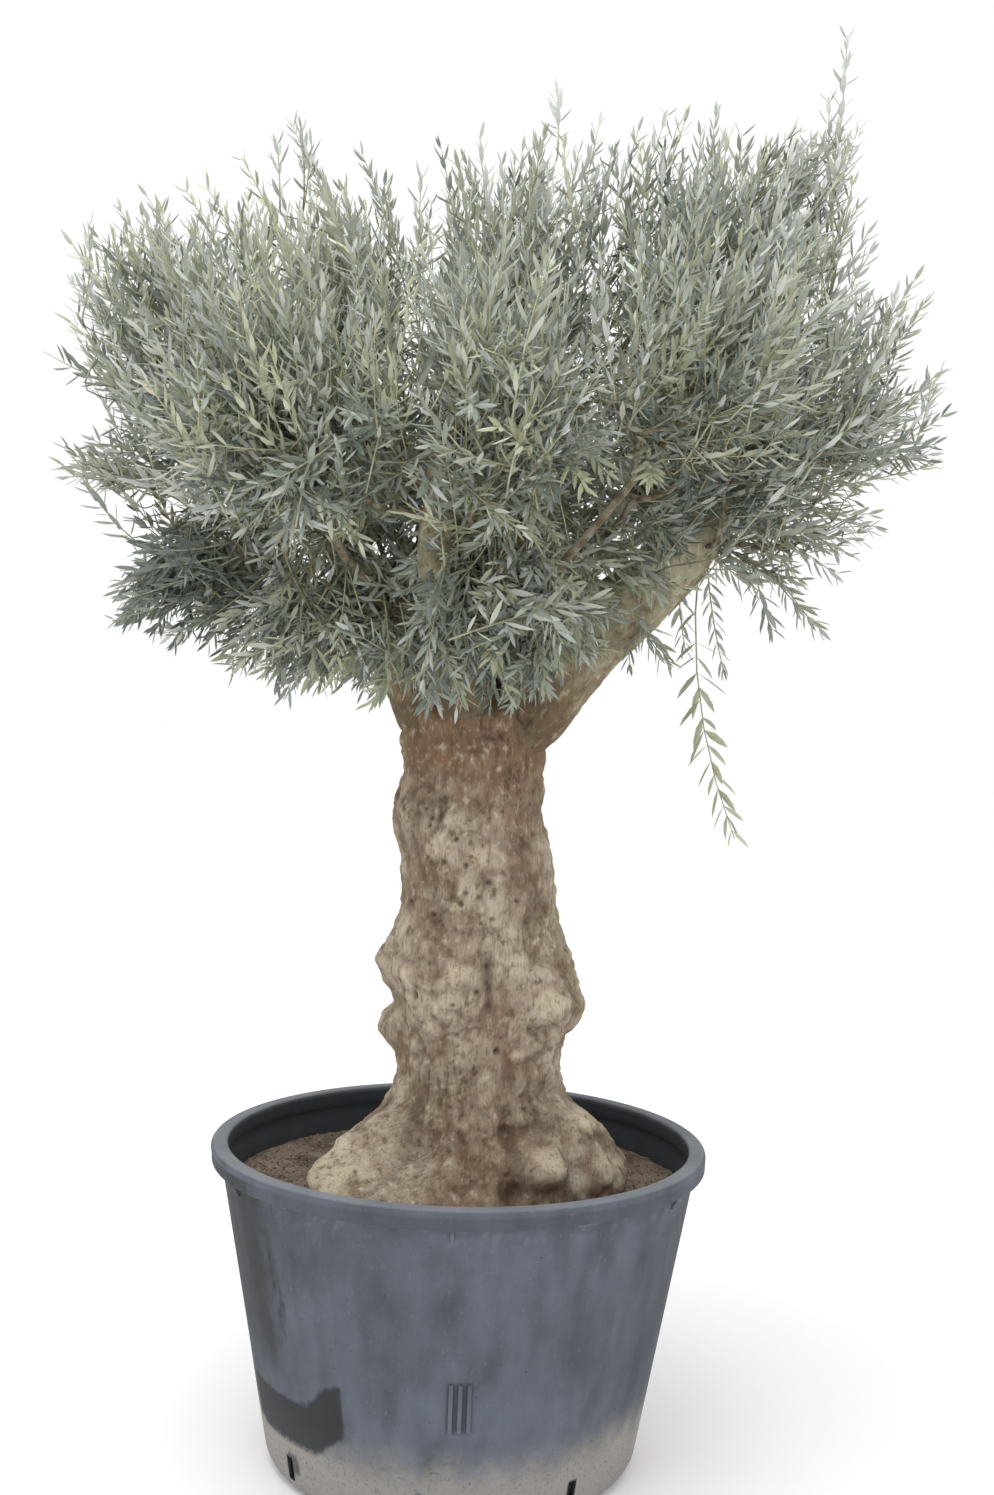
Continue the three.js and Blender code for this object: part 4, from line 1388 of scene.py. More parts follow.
@dataclass
class Mass:
    """A CAD mass of foliage, which says where the crown's outline runs."""

    name: str
    tree: BVHTree
    low: np.ndarray
    high: np.ndarray
    corners: np.ndarray
    triangles: np.ndarray

    @classmethod
    def read(cls, name: str) -> "Mass":
        """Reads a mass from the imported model.

        Args:
            name: the CAD node's name.

        Returns:
            The mass.
        """
        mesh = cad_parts[name].data
        mesh.calc_loop_triangles()
        corners = np.zeros(len(mesh.vertices) * 3)
        mesh.vertices.foreach_get("co", corners)
        corners = corners.reshape(-1, 3)
        triangles = np.zeros(len(mesh.loop_triangles) * 3, np.int32)
        mesh.loop_triangles.foreach_get("vertices", triangles)
        triangles = triangles.reshape(-1, 3)
        tree = BVHTree.FromPolygons(corners.tolist(), triangles.tolist())
        return cls(name, tree, corners.min(0), corners.max(0), corners, triangles)

    def depth(self, point: np.ndarray) -> float:
        """How far a point lies under the mass's surface; less than nothing outside it."""
        if np.any(point < self.low - 0.2) or np.any(point > self.high + 0.2):
            return -1.0
        nearest, normal, _, distance = self.tree.find_nearest(Vector(point))
        return math.copysign(distance, (nearest - Vector(point)).dot(normal))

    def sample(self, count: int, rng: np.random.Generator) -> tuple[np.ndarray, np.ndarray]:
        """Random places on the mass's surface, spread by area.

        Args:
            count: how many.
            rng: the random numbers.

        Returns:
            The places and the outward directions there.
        """
        a, b, c = (self.corners[self.triangles[:, i]] for i in range(3))
        cross = np.cross(b - a, c - a)
        area = np.linalg.norm(cross, axis=1)
        pick = rng.choice(len(area), count, p=area / area.sum())
        one, two = rng.uniform(size=(2, count, 1))
        flip = one + two > 1
        one, two = np.where(flip, 1 - one, one), np.where(flip, 1 - two, two)
        return a[pick] + one * (b - a)[pick] + two * (c - a)[pick], unit(cross[pick])

    def area(self) -> float:
        """The mass's surface in square metres."""
        a, b, c = (self.corners[self.triangles[:, i]] for i in range(3))
        return float(np.linalg.norm(np.cross(b - a, c - a), axis=1).sum() / 2)


def frame_box() -> tuple[np.ndarray, np.ndarray]:
    """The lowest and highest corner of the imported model's nodes."""
    corners = [
        np.array(node.matrix_world @ Vector(c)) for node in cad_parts.values() for c in node.bound_box
    ]
    return np.min(corners, axis=0), np.max(corners, axis=0)


@dataclass
class Shoots:
    """Leafy shoots: paths from foot to tip, and what grows on them."""

    path: np.ndarray
    habit: list[Habit]
    depth: np.ndarray
    low: np.ndarray = field(default_factory=lambda: np.array(frame_box()[0]) - 22 * MM)
    high: np.ndarray = field(default_factory=lambda: np.array(frame_box()[1]) + 22 * MM)

    STEPS = 6

    @classmethod
    def curved(
        cls, tip: np.ndarray, way: np.ndarray, length: np.ndarray, bend: np.ndarray, habit: list[Habit],
        depth: np.ndarray
    ) -> "Shoots":
        """Shoots that end at given tips.

        A shoot runs back from its tip along its way, and turns by its bend with the square of the distance.

        Args:
            tip: the tips' places.
            way: the growing direction at the tips.
            length: the shoots' lengths.
            bend: sideways shift of the foot, as a share of the length.
            habit: how each grows.
            depth: how far each lies inside the crown.

        Returns:
            The shoots.
        """
        back = np.linspace(1, 0, cls.STEPS)[None, :, None]
        reach = length[:, None, None]
        path = tip[:, None] - reach * back * way[:, None] + reach * back**2 * bend[:, None]
        return cls(path, habit, depth)

    def joined(self, other: "Shoots") -> "Shoots":
        """These shoots and the others together."""
        return Shoots(
            np.concatenate([self.path, other.path]), self.habit + other.habit,
            np.concatenate([self.depth, other.depth])
        )


@dataclass
class Branching:
    """Wood that joins every shoot's foot to the boughs by a seeded branching rule.

    Feet are taken from the nearest to the fork outwards. Each is joined to the point of the wood made so far
    that costs least: the distance to it, more where the wood there points another way, plus a share of that
    point's own distance from the fork. A point's radius then follows from the shoots that it carries.
    """

    seed: int = 71
    steps: int = 5
    twig_radius: float = 1.5 * MM
    thickening: float = 2.35
    turn_cost: float = 0.45
    length_cost: float = 0.32
    spots: np.ndarray = field(default_factory=lambda: np.zeros((0, 3)))
    ways: np.ndarray = field(default_factory=lambda: np.zeros((0, 3)))
    gone: np.ndarray = field(default_factory=lambda: np.zeros(0))

    def _seed_wood(self, boughs: Sequence[Bough]) -> None:
        """Starts the wood with points along the upper part of each bough."""
        spots, ways, gone = [], [], []
        for bough in boughs:
            path, _ = bough.path(40)
            ahead = unit(np.gradient(path, axis=0))
            length = np.concatenate([[0.0], np.cumsum(np.linalg.norm(np.diff(path, axis=0), axis=1))])
            spots.append(path[12:])
            ways.append(ahead[12:])
            gone.append(length[12:])
        self.spots, self.ways, self.gone = np.concatenate(spots), np.concatenate(ways), np.concatenate(gone)

    def grow(self, boughs: Sequence[Bough], hubs: np.ndarray, feet: np.ndarray, foot_ways: np.ndarray,
             origin: np.ndarray) -> tuple[np.ndarray, np.ndarray]:
        """Joins hubs and then feet to the wood.

        Args:
            boughs: the limbs that everything grows from.
            hubs: places inside the masses that the bigger limbs reach for.
            feet: the shoots' feet.
            foot_ways: the shoots' directions at their feet.
            origin: the fork.

        Returns:
            The twigs' paths, as twigs by points by 3, and the radius at each of their points.
        """
        rng = np.random.default_rng(self.seed)
        self._seed_wood(boughs)
        first = len(self.spots)
        hub_order = np.argsort(np.linalg.norm(hubs - origin, axis=1))
        foot_order = np.argsort(np.linalg.norm(feet - origin, axis=1))
        goals = np.concatenate([hubs[hub_order], feet[foot_order]])
        goal_ways = np.concatenate([np.full((len(hubs), 3), np.nan), foot_ways[foot_order]])
        total = first + len(goals) * self.steps
        spots, ways, gone = np.zeros((total, 3)), np.zeros((total, 3)), np.zeros(total)
        spots[:first], ways[:first], gone[:first] = self.spots, self.ways, self.gone
        parent = np.zeros(len(goals), np.int64)
        paths = np.zeros((len(goals), self.steps + 1, 3))
        share = np.linspace(0, 1, self.steps + 1)[:, None]
        used = first
        for i, goal in enumerate(goals):
            to_goal = goal - spots[:used]
            distance = np.linalg.norm(to_goal, axis=1)
            aligned = np.einsum("ij,ij->i", to_goal, ways[:used]) / np.maximum(distance, 1e-9)
            cost = distance * (1 + self.turn_cost * (1 - aligned)) + self.length_cost * gone[:used]
            best = int(np.argmin(cost))
            parent[i] = best
            reach = distance[best]
            leave = 0.55 * ways[best] + 0.45 * to_goal[best] / max(reach, 1e-9)
            arrive = to_goal[best] / max(reach, 1e-9) if np.isnan(goal_ways[i, 0]) else goal_ways[i]
            start = spots[best]
            near = start + leave * reach * 0.36
            far = goal - arrive * reach * 0.3
            kink = rng.normal(0, 0.035 * reach, 3)
            path = (
                (1 - share) ** 3 * start + 3 * (1 - share) ** 2 * share * (near + kink)
                + 3 * (1 - share) * share**2 * (far - kink) + share**3 * goal
            )
            paths[i] = path
            fresh = slice(used, used + self.steps)
            spots[fresh] = path[1:]
            ways[fresh] = unit(np.diff(path, axis=0))
            gone[fresh] = gone[best] + np.cumsum(np.linalg.norm(np.diff(path, axis=0), axis=1))
            used += self.steps
        return paths, self._radii(parent, first, len(hubs))

    def _radii(self, parent: np.ndarray, first: int, hubs: int) -> np.ndarray:
        """Radius at each point of each twig: the twig radius times a power of the number of shoots carried.

        Args:
            parent: index of the point that each twig starts from.
            first: number of points that belong to the boughs.
            hubs: number of goals at the front that carry no shoot of their own.

        Returns:
            Radii, as twigs by points.
        """
        load = np.zeros((len(parent), self.steps + 1))
        load[hubs:] = 1.0
        for i in range(len(parent) - 1, -1, -1):
            if parent[i] < first:
                continue
            twig, step = divmod(int(parent[i]) - first, self.steps)
            load[twig, : step + 2] += load[i, 0]
        return self.twig_radius * np.maximum(load, 0.4) ** (1 / self.thickening)


@dataclass
class Foliage:
    """Leaves in opposite pairs along every shoot, each a thin closed body of eight triangles."""

    seed: int = 81
    width_ratio: float = 0.185

    # A leaf's outline: share of its length, of its width, and how far its edges curl below the midrib.
    FORM = np.array(
        [
            [0.0, 0.0, 0.0], [0.34, 0.5, 1.0], [0.72, 0.40, 1.0], [1.0, 0.0, 0.0], [0.72, -0.40, 1.0],
            [0.34, -0.5, 1.0]
        ]
    )
    # Its upper face is folded along the midrib and its underside is flat across.
    UPPER = np.array([[0, 2, 1], [0, 3, 2], [0, 4, 3], [0, 5, 4]])
    UNDER = np.array([[0, 1, 5], [1, 2, 5], [2, 4, 5], [2, 3, 4]])
    CURL = 0.2  # of the width

    def _leaf_frames(self, shoots: Shoots) -> dict[str, np.ndarray]:
        """Places and directions of all leaves.

        Leaf pairs follow each other at the habit's spacing, each pair a quarter turn from the last. A leaf
        leans out from the shoot by the habit's angle, more at the foot than at the tip, and its upper face
        looks back towards the shoot and a little up.

        Args:
            shoots: the shoots that carry them.

        Returns:
            For each leaf its foot, way, upper side, sideways direction, length and shoot.
        """
        rng = np.random.default_rng(self.seed)
        steps = shoots.path.shape[1]
        size = np.linalg.norm(np.diff(shoots.path, axis=1), axis=2).sum(axis=1)
        spacing, leaf, lean = (np.array([h.value[i] for h in shoots.habit]) for i in (1, 2, 3))
        spacing = spacing * rng.uniform(0.85, 1.25, len(spacing))
        vigour = rng.uniform(0.82, 1.14, len(size))
        pairs = np.maximum(2, np.round(size * 0.94 / spacing)).astype(int)
        shoot = np.repeat(np.arange(len(pairs)), pairs)
        nth = np.concatenate([np.arange(n) for n in pairs])
        share = 0.06 + 0.94 * (nth + rng.uniform(0.3, 0.7, len(nth))) / pairs[shoot]
        shoot, nth, share = (np.repeat(a, 2) for a in (shoot, nth, share))
        pair_side = np.tile([0.0, np.pi], len(shoot) // 2)
        spot = np.clip(share, 0, 1) * (steps - 1)
        step = np.minimum(spot.astype(int), steps - 2)
        part = (spot - step)[:, None]
        foot = shoots.path[shoot, step] * (1 - part) + shoots.path[shoot, step + 1] * part
        along = unit(shoots.path[shoot, step + 1] - shoots.path[shoot, step])
        helper = unit(np.cross(along, unit(rng.normal(size=(len(pairs), 3)))[shoot]))
        other = np.cross(along, helper)
        angle = (
            np.pi / 2 * nth + pair_side + rng.normal(0, 0.25, len(nth))
            + rng.uniform(0, 6.3, len(pairs))[shoot]
        )
        radial = helper * np.cos(angle)[:, None] + other * np.sin(angle)[:, None]
        tilt = np.radians(lean[shoot] * (1.25 - 0.6 * share) + rng.normal(0, 9, len(nth)))
        cosine, sine = np.cos(tilt)[:, None], np.sin(tilt)[:, None]
        way = unit(along * cosine + radial * sine + [0.0, 0.0, -0.08])
        upper = along * sine - radial * cosine + [0.0, 0.0, 0.45] + rng.normal(0, 0.22, way.shape)
        upper = unit(upper - way * np.einsum("ij,ij->i", upper, way)[:, None])
        taper = 0.62 + 0.5 * np.sin(np.pi * np.clip(0.12 + 0.8 * share, 0, 1))
        length = leaf[shoot] * vigour[shoot] * taper * rng.uniform(0.8, 1.15, len(nth))
        kept = rng.uniform(size=len(nth)) > 0.06 + 0.5 * (share < 0.25)
        leaf_tip = foot + way * length[:, None]
        kept &= np.all((leaf_tip > shoots.low) & (leaf_tip < shoots.high), axis=1)
        parts = {
            "foot": foot, "way": way, "upper": upper, "side": np.cross(upper, way), "length": length,
            "shoot": shoot,
        }
        return {key: values[kept] for key, values in parts.items()}

    def _tints(self, shoots: Shoots) -> np.ndarray:
        """The tint of each shoot, by chance and place: silvery on top, and darker tints that paint shade deep
        inside, low down and low on the left.
        """
        rng = np.random.default_rng(self.seed + 1)
        tip = shoots.path[:, -1]
        drift = layered_noise(tip, 0.35, self.seed, 2)
        high = ease(tip[:, 2], 1.8, 2.6)
        inside = ease(shoots.depth, 0.05, 0.16)
        shady = ease(-tip[:, 0], 0.42, 0.62) * ease(-tip[:, 2], -1.95, -1.75)
        # The fourth and sixth chances paint shade: darker tints inside and low in the crown, low on the left
        # and deep in the clumps.
        chances = np.stack(
            [
                0.36 - 0.10 * drift,
                0.20 + 0.14 * drift,
                0.10 + 0.20 * high,
                0.09 + 0.5 * inside + 0.12 * (1 - high),
                0.09 + 0.12 * np.maximum(drift, 0),
                2.6 * shady + 0.5 * ease(shoots.depth, 0.13, 0.165),
            ],
            axis=1,
        )
        chances = np.clip(chances, 0.02, None)
        edges = np.cumsum(chances / chances.sum(axis=1, keepdims=True), axis=1)
        return (rng.uniform(size=(len(tip), 1)) > edges).sum(axis=1)

    def build(self, shoots: Shoots) -> list[bpy.types.Object]:
        """Builds all leaves as joined pieces, one or more for each tint.

        Args:
            shoots: the shoots that carry them.

        Returns:
            The pieces.
        """
        leaves = self._leaf_frames(shoots)
        tint_of = self._tints(shoots)[leaves["shoot"]]
        rng = np.random.default_rng(self.seed + 2)
        count = len(tint_of)
        length = leaves["length"][:, None, None]
        width = length * self.width_ratio * rng.uniform(0.85, 1.2, (count, 1, 1))
        droop = rng.uniform(-0.08, 0.03, (count, 1, 1))
        form = self.FORM
        sunk = width * self.CURL * form[:, 2:3] - length * droop * form[:, 0:1] ** 2
        points = (
            leaves["foot"][:, None]
            + length * form[:, 0:1] * leaves["way"][:, None]
            + width * form[:, 1:2] * leaves["side"][:, None]
            - sunk * leaves["upper"][:, None]
        )
        faces = np.concatenate([self.UPPER, self.UNDER])
        pieces = []
        most = MOST_TRIANGLES // len(faces)
        for number, tint in enumerate(Tint):
            above, above_shade, under, under_shade = tint.value
            name = tint.name.lower()
            skins = [
                LeafSkin(
                    f"leaf_top_{name}", roughness=0.42, specular=0.5, colour=above, shade=above_shade
                ).build(),
                LeafSkin(
                    f"leaf_under_{name}", roughness=0.75, specular=0.25, colour=under, shade=under_shade
                ).build(),
            ]
            mine = np.flatnonzero(tint_of == number)
            for part, chosen in enumerate(np.array_split(mine, max(1, math.ceil(len(mine) / most)))):
                corners = points[chosen].reshape(-1, 3)
                all_faces = (faces[None] + len(form) * np.arange(len(chosen))[:, None, None]).reshape(-1, 3)
                which = np.tile(np.repeat([0, 1], [len(self.UPPER), len(self.UNDER)]), len(chosen))
                piece = new_piece(
                    f"leaves_{name}_{part}", corners, [all_faces], skins, which, smooth=False
                )
                pieces.append(piece)
        log.info("leaves: %d in %d pieces", count, len(pieces))
        return pieces


# Tips of single shoots that reach out beyond the rest, in millimetres.
LEADERS = (
    (-836, -20, 1975), (-815, -60, 1950), (-790, 30, 1990), (-832, 0, 2270), (-800, -60, 2330),
    (-826, -20, 2420),
    (-790, 40, 2450), (-740, 0, 2500), (-680, -40, 2520), (-610, 20, 2545), (-560, -20, 2540),
    (-492, -10, 2600),
    (-395, -20, 2670), (-350, 10, 2600), (-255, 10, 2625), (-97, 0, 2640), (-60, -40, 2600),
    (100, -30, 2650), (219, -20, 2690), (250, 40, 2650), (300, 0, 2690), (356, 10, 2725), (390, -20, 2700),
    (520, 20, 2660), (560, -40, 2640), (600, 30, 2670), (650, 0, 2660), (620, -60, 2600), (700, 20, 2620),
    (740, -20, 2540), (770, 20, 2500), (760, -60, 2440), (886, 0, 2360), (850, -60, 2390), (925, 0, 2225),
    (900, -50, 2180), (908, -20, 2030), (880, 40, 2060), (790, -20, 1930), (760, -60, 1900),
)


# Pale shoots that arch over the crown's front, in millimetres: across and up of the foot, then of the tip.
ARCHES = (
    (-520, 1760, -120, 1690), (-250, 1700, 20, 2140), (350, 1940, 180, 2270), (140, 1820, 350, 2100),
    (-350, 2060, -470, 2370), (260, 2140, 240, 2490), (-80, 1820, -170, 2120), (470, 1830, 700, 2070),
    (60, 1980, 120, 2290), (-40, 1640, 250, 1730), (-600, 1900, -690, 2200), (-200, 2150, -230, 2470),
    (520, 2080, 560, 2420), (20, 2080, -80, 2400), (-420, 1830, -560, 2060), (400, 2260, 450, 2560),
)

# Places that hold more shoots, in front of the boughs and along the crown's edges, in millimetres: middle,
# half-size, how many, and how deep in shade they grow.
CLUMPS = (
    ((520, -190, 1985), (120, 90, 75), 36, 160),
    ((300, -170, 1800), (110, 90, 110), 34, 50),
    ((-20, -235, 1560), (170, 60, 45), 34, 60),
    ((120, -260, 1640), (110, 60, 70), 20, 50),
    ((-600, -50, 1700), (110, 130, 50), 40, 170),
    ((-340, -110, 1590), (170, 130, 45), 40, 90),
    ((600, -30, 1800), (80, 70, 30), 8, 50),
    ((640, 0, 2600), (100, 70, 60), 16, 0),
    ((650, 0, 2670), (60, 60, 25), 12, 0),
    ((-780, 0, 2000), (60, 80, 35), 14, 0),
    ((-60, 300, 1600), (220, 120, 50), 26, 90),
    ((-330, 150, 1830), (90, 80, 70), 18, 160),
    ((250, 150, 1900), (60, 60, 60), 12, 160),
)


@dataclass
class Crown:
    """Everything above the boughs: limbs, twigs and leafy shoots that fill out the CAD masses."""

    heart: tuple[float, float, float] = (0.03, 0.0, 1.9)
    fork: tuple[float, float, float] = (0.02, 0.0, 1.5)
    outer_gap: float = 42 * MM  # least distance between two outer shoots' tips
    inner_shoots: int = 700
    hubs_per_mass: int = 7
    seed: int = 91

    def __post_init__(self) -> None:
        """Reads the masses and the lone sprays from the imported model."""
        names = sorted(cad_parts)
        self.masses = [Mass.read(name) for name in names if name.startswith("mass_")]
        self.sprays = {name: Mass.read(name) for name in names if name.startswith(("shoot_", "spray_"))}
        self.rng = np.random.default_rng(self.seed)

    def _growing_way(self, place: np.ndarray, normal: np.ndarray) -> np.ndarray:
        """Growing directions: out of the crown's heart and the mass, upward high up, drooping low down."""
        away = unit(place - np.array(self.heart))
        lift = -0.25 + 1.25 * ease(place[:, 2], 1.6, 2.4)
        chance = self.rng.normal(0, 0.3, place.shape)
        way = 0.55 * away + 0.3 * normal + chance
        way[:, 2] += lift
        way = unit(way)
        inward = np.maximum(0.0, 0.45 - np.einsum("ij,ij->i", way, normal))
        return unit(way + normal * inward[:, None])

    def _habits(self, place: np.ndarray, way: np.ndarray) -> list[Habit]:
        """Erect shoots high in the crown, drooping ones low, spreading ones between."""
        roll = self.rng.uniform(size=len(place))
        erect = (way[:, 2] > 0.55) & (roll < 0.75)
        droop = (place[:, 2] < 1.85) & (roll < 0.6)
        return [Habit.ERECT if e else Habit.DROOPING if d else Habit.SPREADING for e, d in zip(erect, droop)]

    def _outer_tips(self) -> tuple[np.ndarray, np.ndarray]:
        """Even, uneven-looking places over the crown's outside.

        Returns:
            The places and the outward directions there.
        """
        places, normals = [], []
        probe = 14 * MM
        for mass in self.masses:
            spots, out = mass.sample(int(1500 * mass.area()), self.rng)
            for spot, way in zip(spots, out):
                others = (other.depth(spot + probe * way) for other in self.masses if other is not mass)
                if all(depth < 0 for depth in others):
                    places.append(spot)
                    normals.append(way)
        places, normals = np.array(places), np.array(normals)
        across, level = places[:, 0], places[:, 2]
        thinned = np.select(
            [(across > 0.58) & (level < 2.02), across > 0.72, across < -0.68, level > 2.45],
            [0.88, 0.5, 0.4, 0.25], 0.0
        )
        thick = self.rng.uniform(size=len(places)) > thinned
        places, normals = places[thick], normals[thick]
        order = self.rng.permutation(len(places))
        chosen: list[int] = []
        kept = np.zeros((0, 3))
        for i in order:
            if len(kept) == 0 or np.min(np.sum((kept - places[i]) ** 2, axis=1)) > self.outer_gap**2:
                chosen.append(int(i))
                kept = places[chosen]
        return places[chosen], normals[chosen]

    def _outer_shoots(self) -> Shoots:
        """Shoots whose tips make the crown's outline."""
        place, normal = self._outer_tips()
        way = self._growing_way(place, normal)
        habit = self._habits(place, way)
        far = self.rng.uniform(size=len(place)) < 0.22
        sink = np.where(
            far, self.rng.uniform(-0.03, 0.02, len(place)), 0.15 * self.rng.beta(1.3, 1.7, len(place))
        )
        tip = place - normal * sink[:, None]
        length = np.array([h.value[0] for h in habit]) * self.rng.uniform(0.6, 1.3, len(place))
        sideways = np.cross(way, unit(self.rng.normal(size=way.shape)))
        bend = 0.18 * sideways + np.array([0.0, 0.0, 0.12])
        return Shoots.curved(tip, way, length, bend, habit, np.zeros(len(place)))

    def _clump_shoots(self) -> Shoots:
        """Shoots that fill the clumps."""
        spots = [
            np.array(middle) * MM + np.array(half) * MM * self.rng.uniform(-1, 1, (count, 3))
            for middle, half, count, _ in CLUMPS
        ]
        tip = np.concatenate(spots)
        way = self._growing_way(tip, unit(tip - np.array(self.heart)))
        habit = self._habits(tip, way)
        length = np.array([h.value[0] for h in habit]) * self.rng.uniform(0.5, 0.9, len(tip))
        bend = 0.2 * np.cross(way, unit(self.rng.normal(size=way.shape))) + np.array([0.0, 0.0, 0.1])
        shade = np.concatenate([np.full(count, depth * MM) for _, _, count, depth in CLUMPS])
        return Shoots.curved(tip, way, length, bend, habit, shade)

    def _rooted(self, shoots: Shoots) -> Shoots:
        """The shoots whose feet lie inside the crown."""
        deep = [max(mass.depth(foot) for mass in self.masses) > 0.0 for foot in shoots.path[:, 0]]
        habit = [h for h, kept in zip(shoots.habit, deep) if kept]
        return Shoots(shoots.path[deep], habit, shoots.depth[deep])

    def _inner_shoots(self) -> Shoots:
        """Shoots further in, which close the crown behind its outer ones."""
        weights = np.array([m.area() for m in self.masses])
        spots, outs, depths = [], [], []
        for mass, count in zip(self.masses, self.rng.multinomial(self.inner_shoots, weights / weights.sum())):
            place, normal = mass.sample(count, self.rng)
            sink = self.rng.uniform(0.06, 0.19, count)
            spots.append(place - normal * sink[:, None])
            outs.append(normal)
            depths.append(sink)
        tip, normal = np.concatenate(spots), np.concatenate(outs)
        way = self._growing_way(tip, normal)
        habit = self._habits(tip, way)
        length = np.array([h.value[0] for h in habit]) * self.rng.uniform(0.5, 1.0, len(tip))
        bend = 0.2 * np.cross(way, unit(self.rng.normal(size=way.shape)))
        return Shoots.curved(tip, way, length, bend, habit, np.concatenate(depths))

    def _front(self, across: float, level: float) -> np.ndarray:
        """The place on the front of the crown at a distance across and a height, in millimetres."""
        start = Vector((across * MM, -2.0, level * MM))
        hits = [mass.tree.ray_cast(start, Vector((0.0, 1.0, 0.0)))[0] for mass in self.masses]
        near = min((hit.y for hit in hits if hit is not None), default=-0.3)
        return np.array([across * MM, max(near - 8 * MM, frame_box()[0][1] + 15 * MM), level * MM])

    def _spray_shoots(self) -> Shoots:
        """The lone shoots and sprays that stick out of the crown, each along its own CAD solid."""
        tips, ways, lengths, bends, habits = [], [], [], [], []

        def add(start: np.ndarray, end: np.ndarray, habit: Habit, bow: float) -> None:
            """Adds one shoot from start to end that bows sideways by a share of its length."""
            reach = float(np.linalg.norm(end - start))
            way = (end - start) / reach
            side = bow * np.cross(way, [0.0, 1.0, 0.0])
            tips.append(end)
            ways.append(unit(way + side))
            lengths.append(reach)
            bends.append(side)
            habits.append(habit)

        for name, spray in self.sprays.items():
            top = spray.corners[np.argmax(spray.corners[:, 2])]
            foot = spray.corners[np.argmin(spray.corners[:, 2])]
            middle = (spray.low + spray.high) / 2
            half = (spray.high - spray.low) / 2
            if name == "shoot_tall":
                top = top - [0.012, 0, 0.03]
                add(foot - [0.02, 0, 0.08], top, Habit.ERECT, 0.05)
                add(
                    foot - [0.01, 0, 0.08], foot + 0.62 * (top - foot) + [-0.028, 0.01, 0], Habit.ERECT, -0.04
                )
                add(foot - [0.02, 0, 0.05], foot + 0.42 * (top - foot) + [0.03, -0.01, 0], Habit.ERECT, 0.06)
            elif name == "spray_hanging":
                add(top + [-0.02, 0, 0.03], foot + [0, 0, 0.03], Habit.HANGING, 0.24)
                add(top + [-0.05, 0.01, 0.05], np.array([0.425, -0.03, 1.64]), Habit.DROOPING, 0.15)
                add(top + [0.0, 0.01, 0.03], np.array([0.505, -0.02, 1.60]), Habit.DROOPING, 0.1)
            else:
                up = name.startswith("shoot_")
                root = middle - [0, 0, half[2]] if up else middle + [-0.8 * half[0], 0, half[2]]
                count = 1 if name == "shoot_top_centre" else 3
                for i in range(count):
                    turn = 2 * np.pi * (i + self.rng.uniform(0, 0.6)) / count
                    out = np.array([0.6 * math.cos(turn), 0.6 * math.sin(turn), self.rng.uniform(0.4, 0.9)])
                    end = middle + half * out * ([1, 1, 1] if up else [1, 1, -1])
                    add(
                        root + 0.2 * half * self.rng.normal(size=3), end,
                        Habit.ERECT if up else Habit.DROOPING, 0.05
                    )
        for leader in LEADERS:
            end = np.array(leader) * MM
            away = (
                unit((end - np.array(self.heart)) * [1.0, 1.0, 0.4])
                + [0.0, 0.0, 1.3 * ease(end[2], 1.9, 2.5)]
            )
            reach = self.rng.uniform(0.3, 0.4)
            add(end - reach * unit(away), end, Habit.ERECT if end[2] > 2.3 else Habit.SPREADING, 0.08)
        for left, low, right, high in ARCHES:
            start, end = self._front(left, low), self._front(right, high)
            if abs(start[1] - end[1]) < 130 * MM:
                add(start, end, Habit.ARCHING, 0.1 * self.rng.choice([-1, 1]))
        arrays = (np.array(part) for part in (tips, ways, lengths, bends))
        return Shoots.curved(*arrays, habits, np.zeros(len(tips)))

    def _hubs(self) -> np.ndarray:
        """Places in the masses that the bigger limbs grow towards: each middle, then points halfway out."""
        hubs = []
        for mass in self.masses:
            middle = (mass.low + mass.high) / 2
            half = (mass.high - mass.low) / 2
            scatter = unit(self.rng.normal(size=(self.hubs_per_mass, 3))) * half * 0.5
            hubs.append(np.concatenate([[middle], middle + scatter]))
        return np.concatenate(hubs)

    def _wood(self, shoots: Shoots) -> list[bpy.types.Object]:
        """The limbs and twigs inside the crown, and the shoots' own stems.

        Args:
            shoots: the shoots to join to the boughs.

        Returns:
            The pieces.
        """
        feet = shoots.path[:, 0]
        foot_ways = unit(shoots.path[:, 1] - shoots.path[:, 0])
        paths, radii = Branching().grow(BOUGHS, self._hubs(), feet, foot_ways, np.array(self.fork))
        thick = radii[:, 0] > 4 * MM
        limb_finish = TwigBark(
            "limb_bark", roughness=0.85, specular=0.3, base="#8a836f", mottle="#625845"
        ).build()
        twig_finish = TwigBark(
            "twig_bark", roughness=0.75, specular=0.3, base="#8b876f", mottle="#6b6650"
        ).build()
        stem_finish = TwigBark(
            "shoot_bark", roughness=0.6, specular=0.4, base="#b4b496", mottle="#9b9c80"
        ).build()
        limb_points, limb_faces = rods(paths[thick], radii[thick], 7)
        twig_points, twig_faces = rods(paths[~thick], radii[~thick], 3)
        stems = np.linspace(2.1 * MM, 1.0 * MM, Shoots.STEPS)
        stem_radii = np.broadcast_to(stems, shoots.path.shape[:2])
        stem_points, stem_faces = rods(shoots.path, stem_radii, 3)
        return [
            new_piece("limbs", limb_points, limb_faces, [limb_finish]),
            new_piece("twigs", twig_points, twig_faces, [twig_finish]),
            new_piece("shoot_stems", stem_points, stem_faces, [stem_finish]),
        ]

    def build(self) -> None:
        """Builds the crown and stands its leaves in for the CAD masses and sprays."""
        shoots = self._rooted(self._outer_shoots().joined(self._inner_shoots())).joined(self._clump_shoots())
        shoots = shoots.joined(self._spray_shoots())
        log.info("crown: %d shoots", len(shoots.path))
        self._wood(shoots)
        leaves = Foliage().build(shoots)
        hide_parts(*(mass.name for mass in self.masses), *self.sprays)


# -------------------------------------------------------------------------------------------------- studio


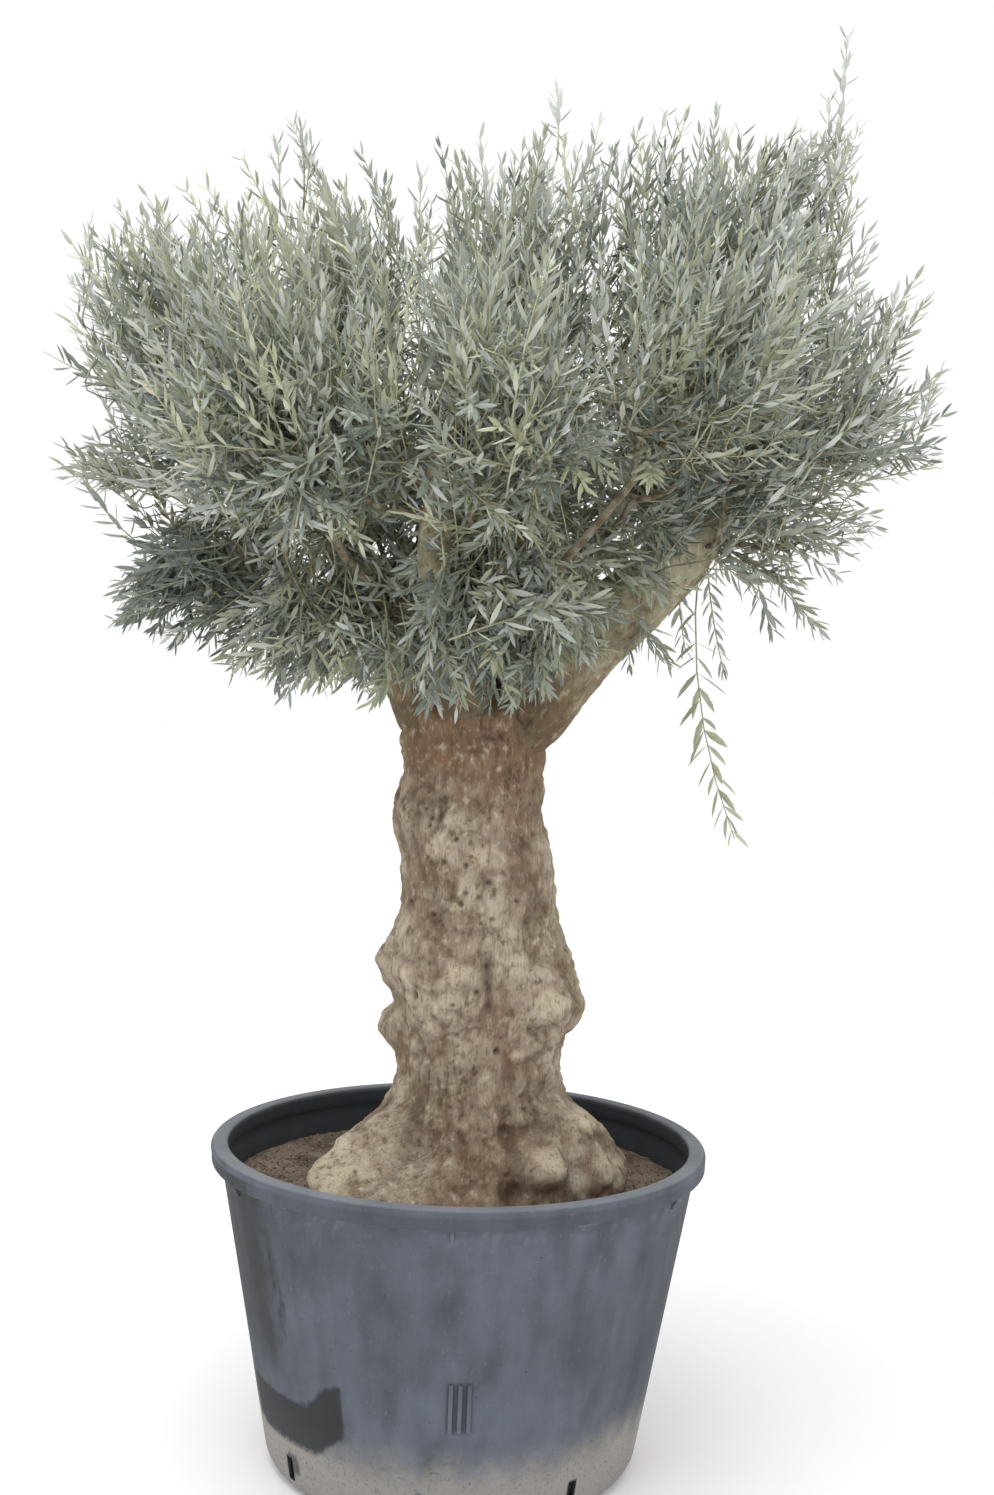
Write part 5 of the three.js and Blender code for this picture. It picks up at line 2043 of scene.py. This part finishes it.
@dataclass
class Studio:
    """A pale floor, soft light from all round and above, and the camera. Sizes are in metres."""

    eye: tuple[float, float, float] = (0.053, -3.5, 1.56)
    pitch: float = 2.0  # degrees down
    roll: float = 1.74  # degrees, the camera's right side raised
    lens: float = 41.66
    sensor: float = 36.0
    floor_reach: float = 60.0

    def _camera(self) -> None:
        """A camera whose forward, right and up directions follow from its pitch and roll."""
        pitch, roll = math.radians(self.pitch), math.radians(self.roll)
        ahead = Vector((0.0, math.cos(pitch), -math.sin(pitch)))
        level_up = Vector((0.0, math.sin(pitch), math.cos(pitch)))
        right = Vector((math.cos(roll), 0.0, 0.0)) + level_up * math.sin(roll)
        up = right.cross(ahead)
        data = bpy.data.cameras.new("camera")
        data.lens, data.sensor_width = self.lens, self.sensor
        camera = bpy.data.objects.new("camera", data)
        turn = Matrix((right, up, -ahead)).transposed().to_4x4()
        camera.matrix_world = Matrix.Translation(self.eye) @ turn
        bpy.context.scene.collection.objects.link(camera)
        bpy.context.scene.camera = camera

    def _light(
        self, name: str, place: Sequence[float], aim: Sequence[float], size: float, power: float
    ) -> None:
        """A square soft light.

        Args:
            name: its name.
            place: where it hangs.
            aim: the point that it faces.
            size: length of its side.
            power: in watts.
        """
        data = bpy.data.lights.new(name, "AREA")
        data.shape, data.size, data.energy = "SQUARE", size, power
        lamp = bpy.data.objects.new(name, data)
        way = Vector(aim) - Vector(place)
        lamp.matrix_world = Matrix.Translation(place) @ way.to_track_quat("-Z", "Y").to_matrix().to_4x4()
        bpy.context.scene.collection.objects.link(lamp)

    def _floor(self) -> None:
        """A wide pale floor that isn't part of the tree."""
        reach = self.floor_reach
        mesh = bpy.data.meshes.new("floor")
        mesh.from_pydata(
            [(-reach, -reach, 0), (reach, -reach, 0), (reach, reach, 0), (-reach, reach, 0)], [],
            [(0, 1, 2, 3)]
        )
        material, _, surface = Finish("pale_floor", roughness=0.9, specular=0.1).start()
        surface.inputs["Base Color"].default_value = linear("#ffffff")
        mesh.materials.append(material)
        floor = bpy.data.objects.new("floor", mesh)
        bpy.context.scene.collection.objects.link(floor)

    def build(self) -> None:
        """Sets up floor, light and camera."""
        world = bpy.data.worlds.new("studio")
        world.use_nodes = True
        world.node_tree.nodes["Background"].inputs["Color"].default_value = linear("#ffffff")
        world.node_tree.nodes["Background"].inputs["Strength"].default_value = 1.0
        bpy.context.scene.world = world
        self._light("overhead", (-0.6, -0.9, 5.2), (0.0, 0.0, 1.8), 3.2, 130.0)
        self._floor()
        self._camera()
        bpy.context.scene.view_settings.view_transform = "Standard"
        log.info("studio: floor, light and camera")


# ---------------------------------------------------------------------------------------------------- main


def main() -> None:
    logging.basicConfig(level=logging.INFO, format="%(name)s: %(message)s")
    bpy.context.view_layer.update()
    Tub().build()
    Soil().build()
    Trunk().build(OliveBark("olive_bark", roughness=0.9, specular=0.25).build())
    younger = OliveBark("bough_bark", roughness=0.9, specular=0.25, plate="#958d76", plate_light="#b9b39b")
    bough_finish = younger.build()
    for bough in BOUGHS:
        bough.build(bough_finish)
    Crown().build()
    Studio().build()


if __name__ == "__main__":
    main()
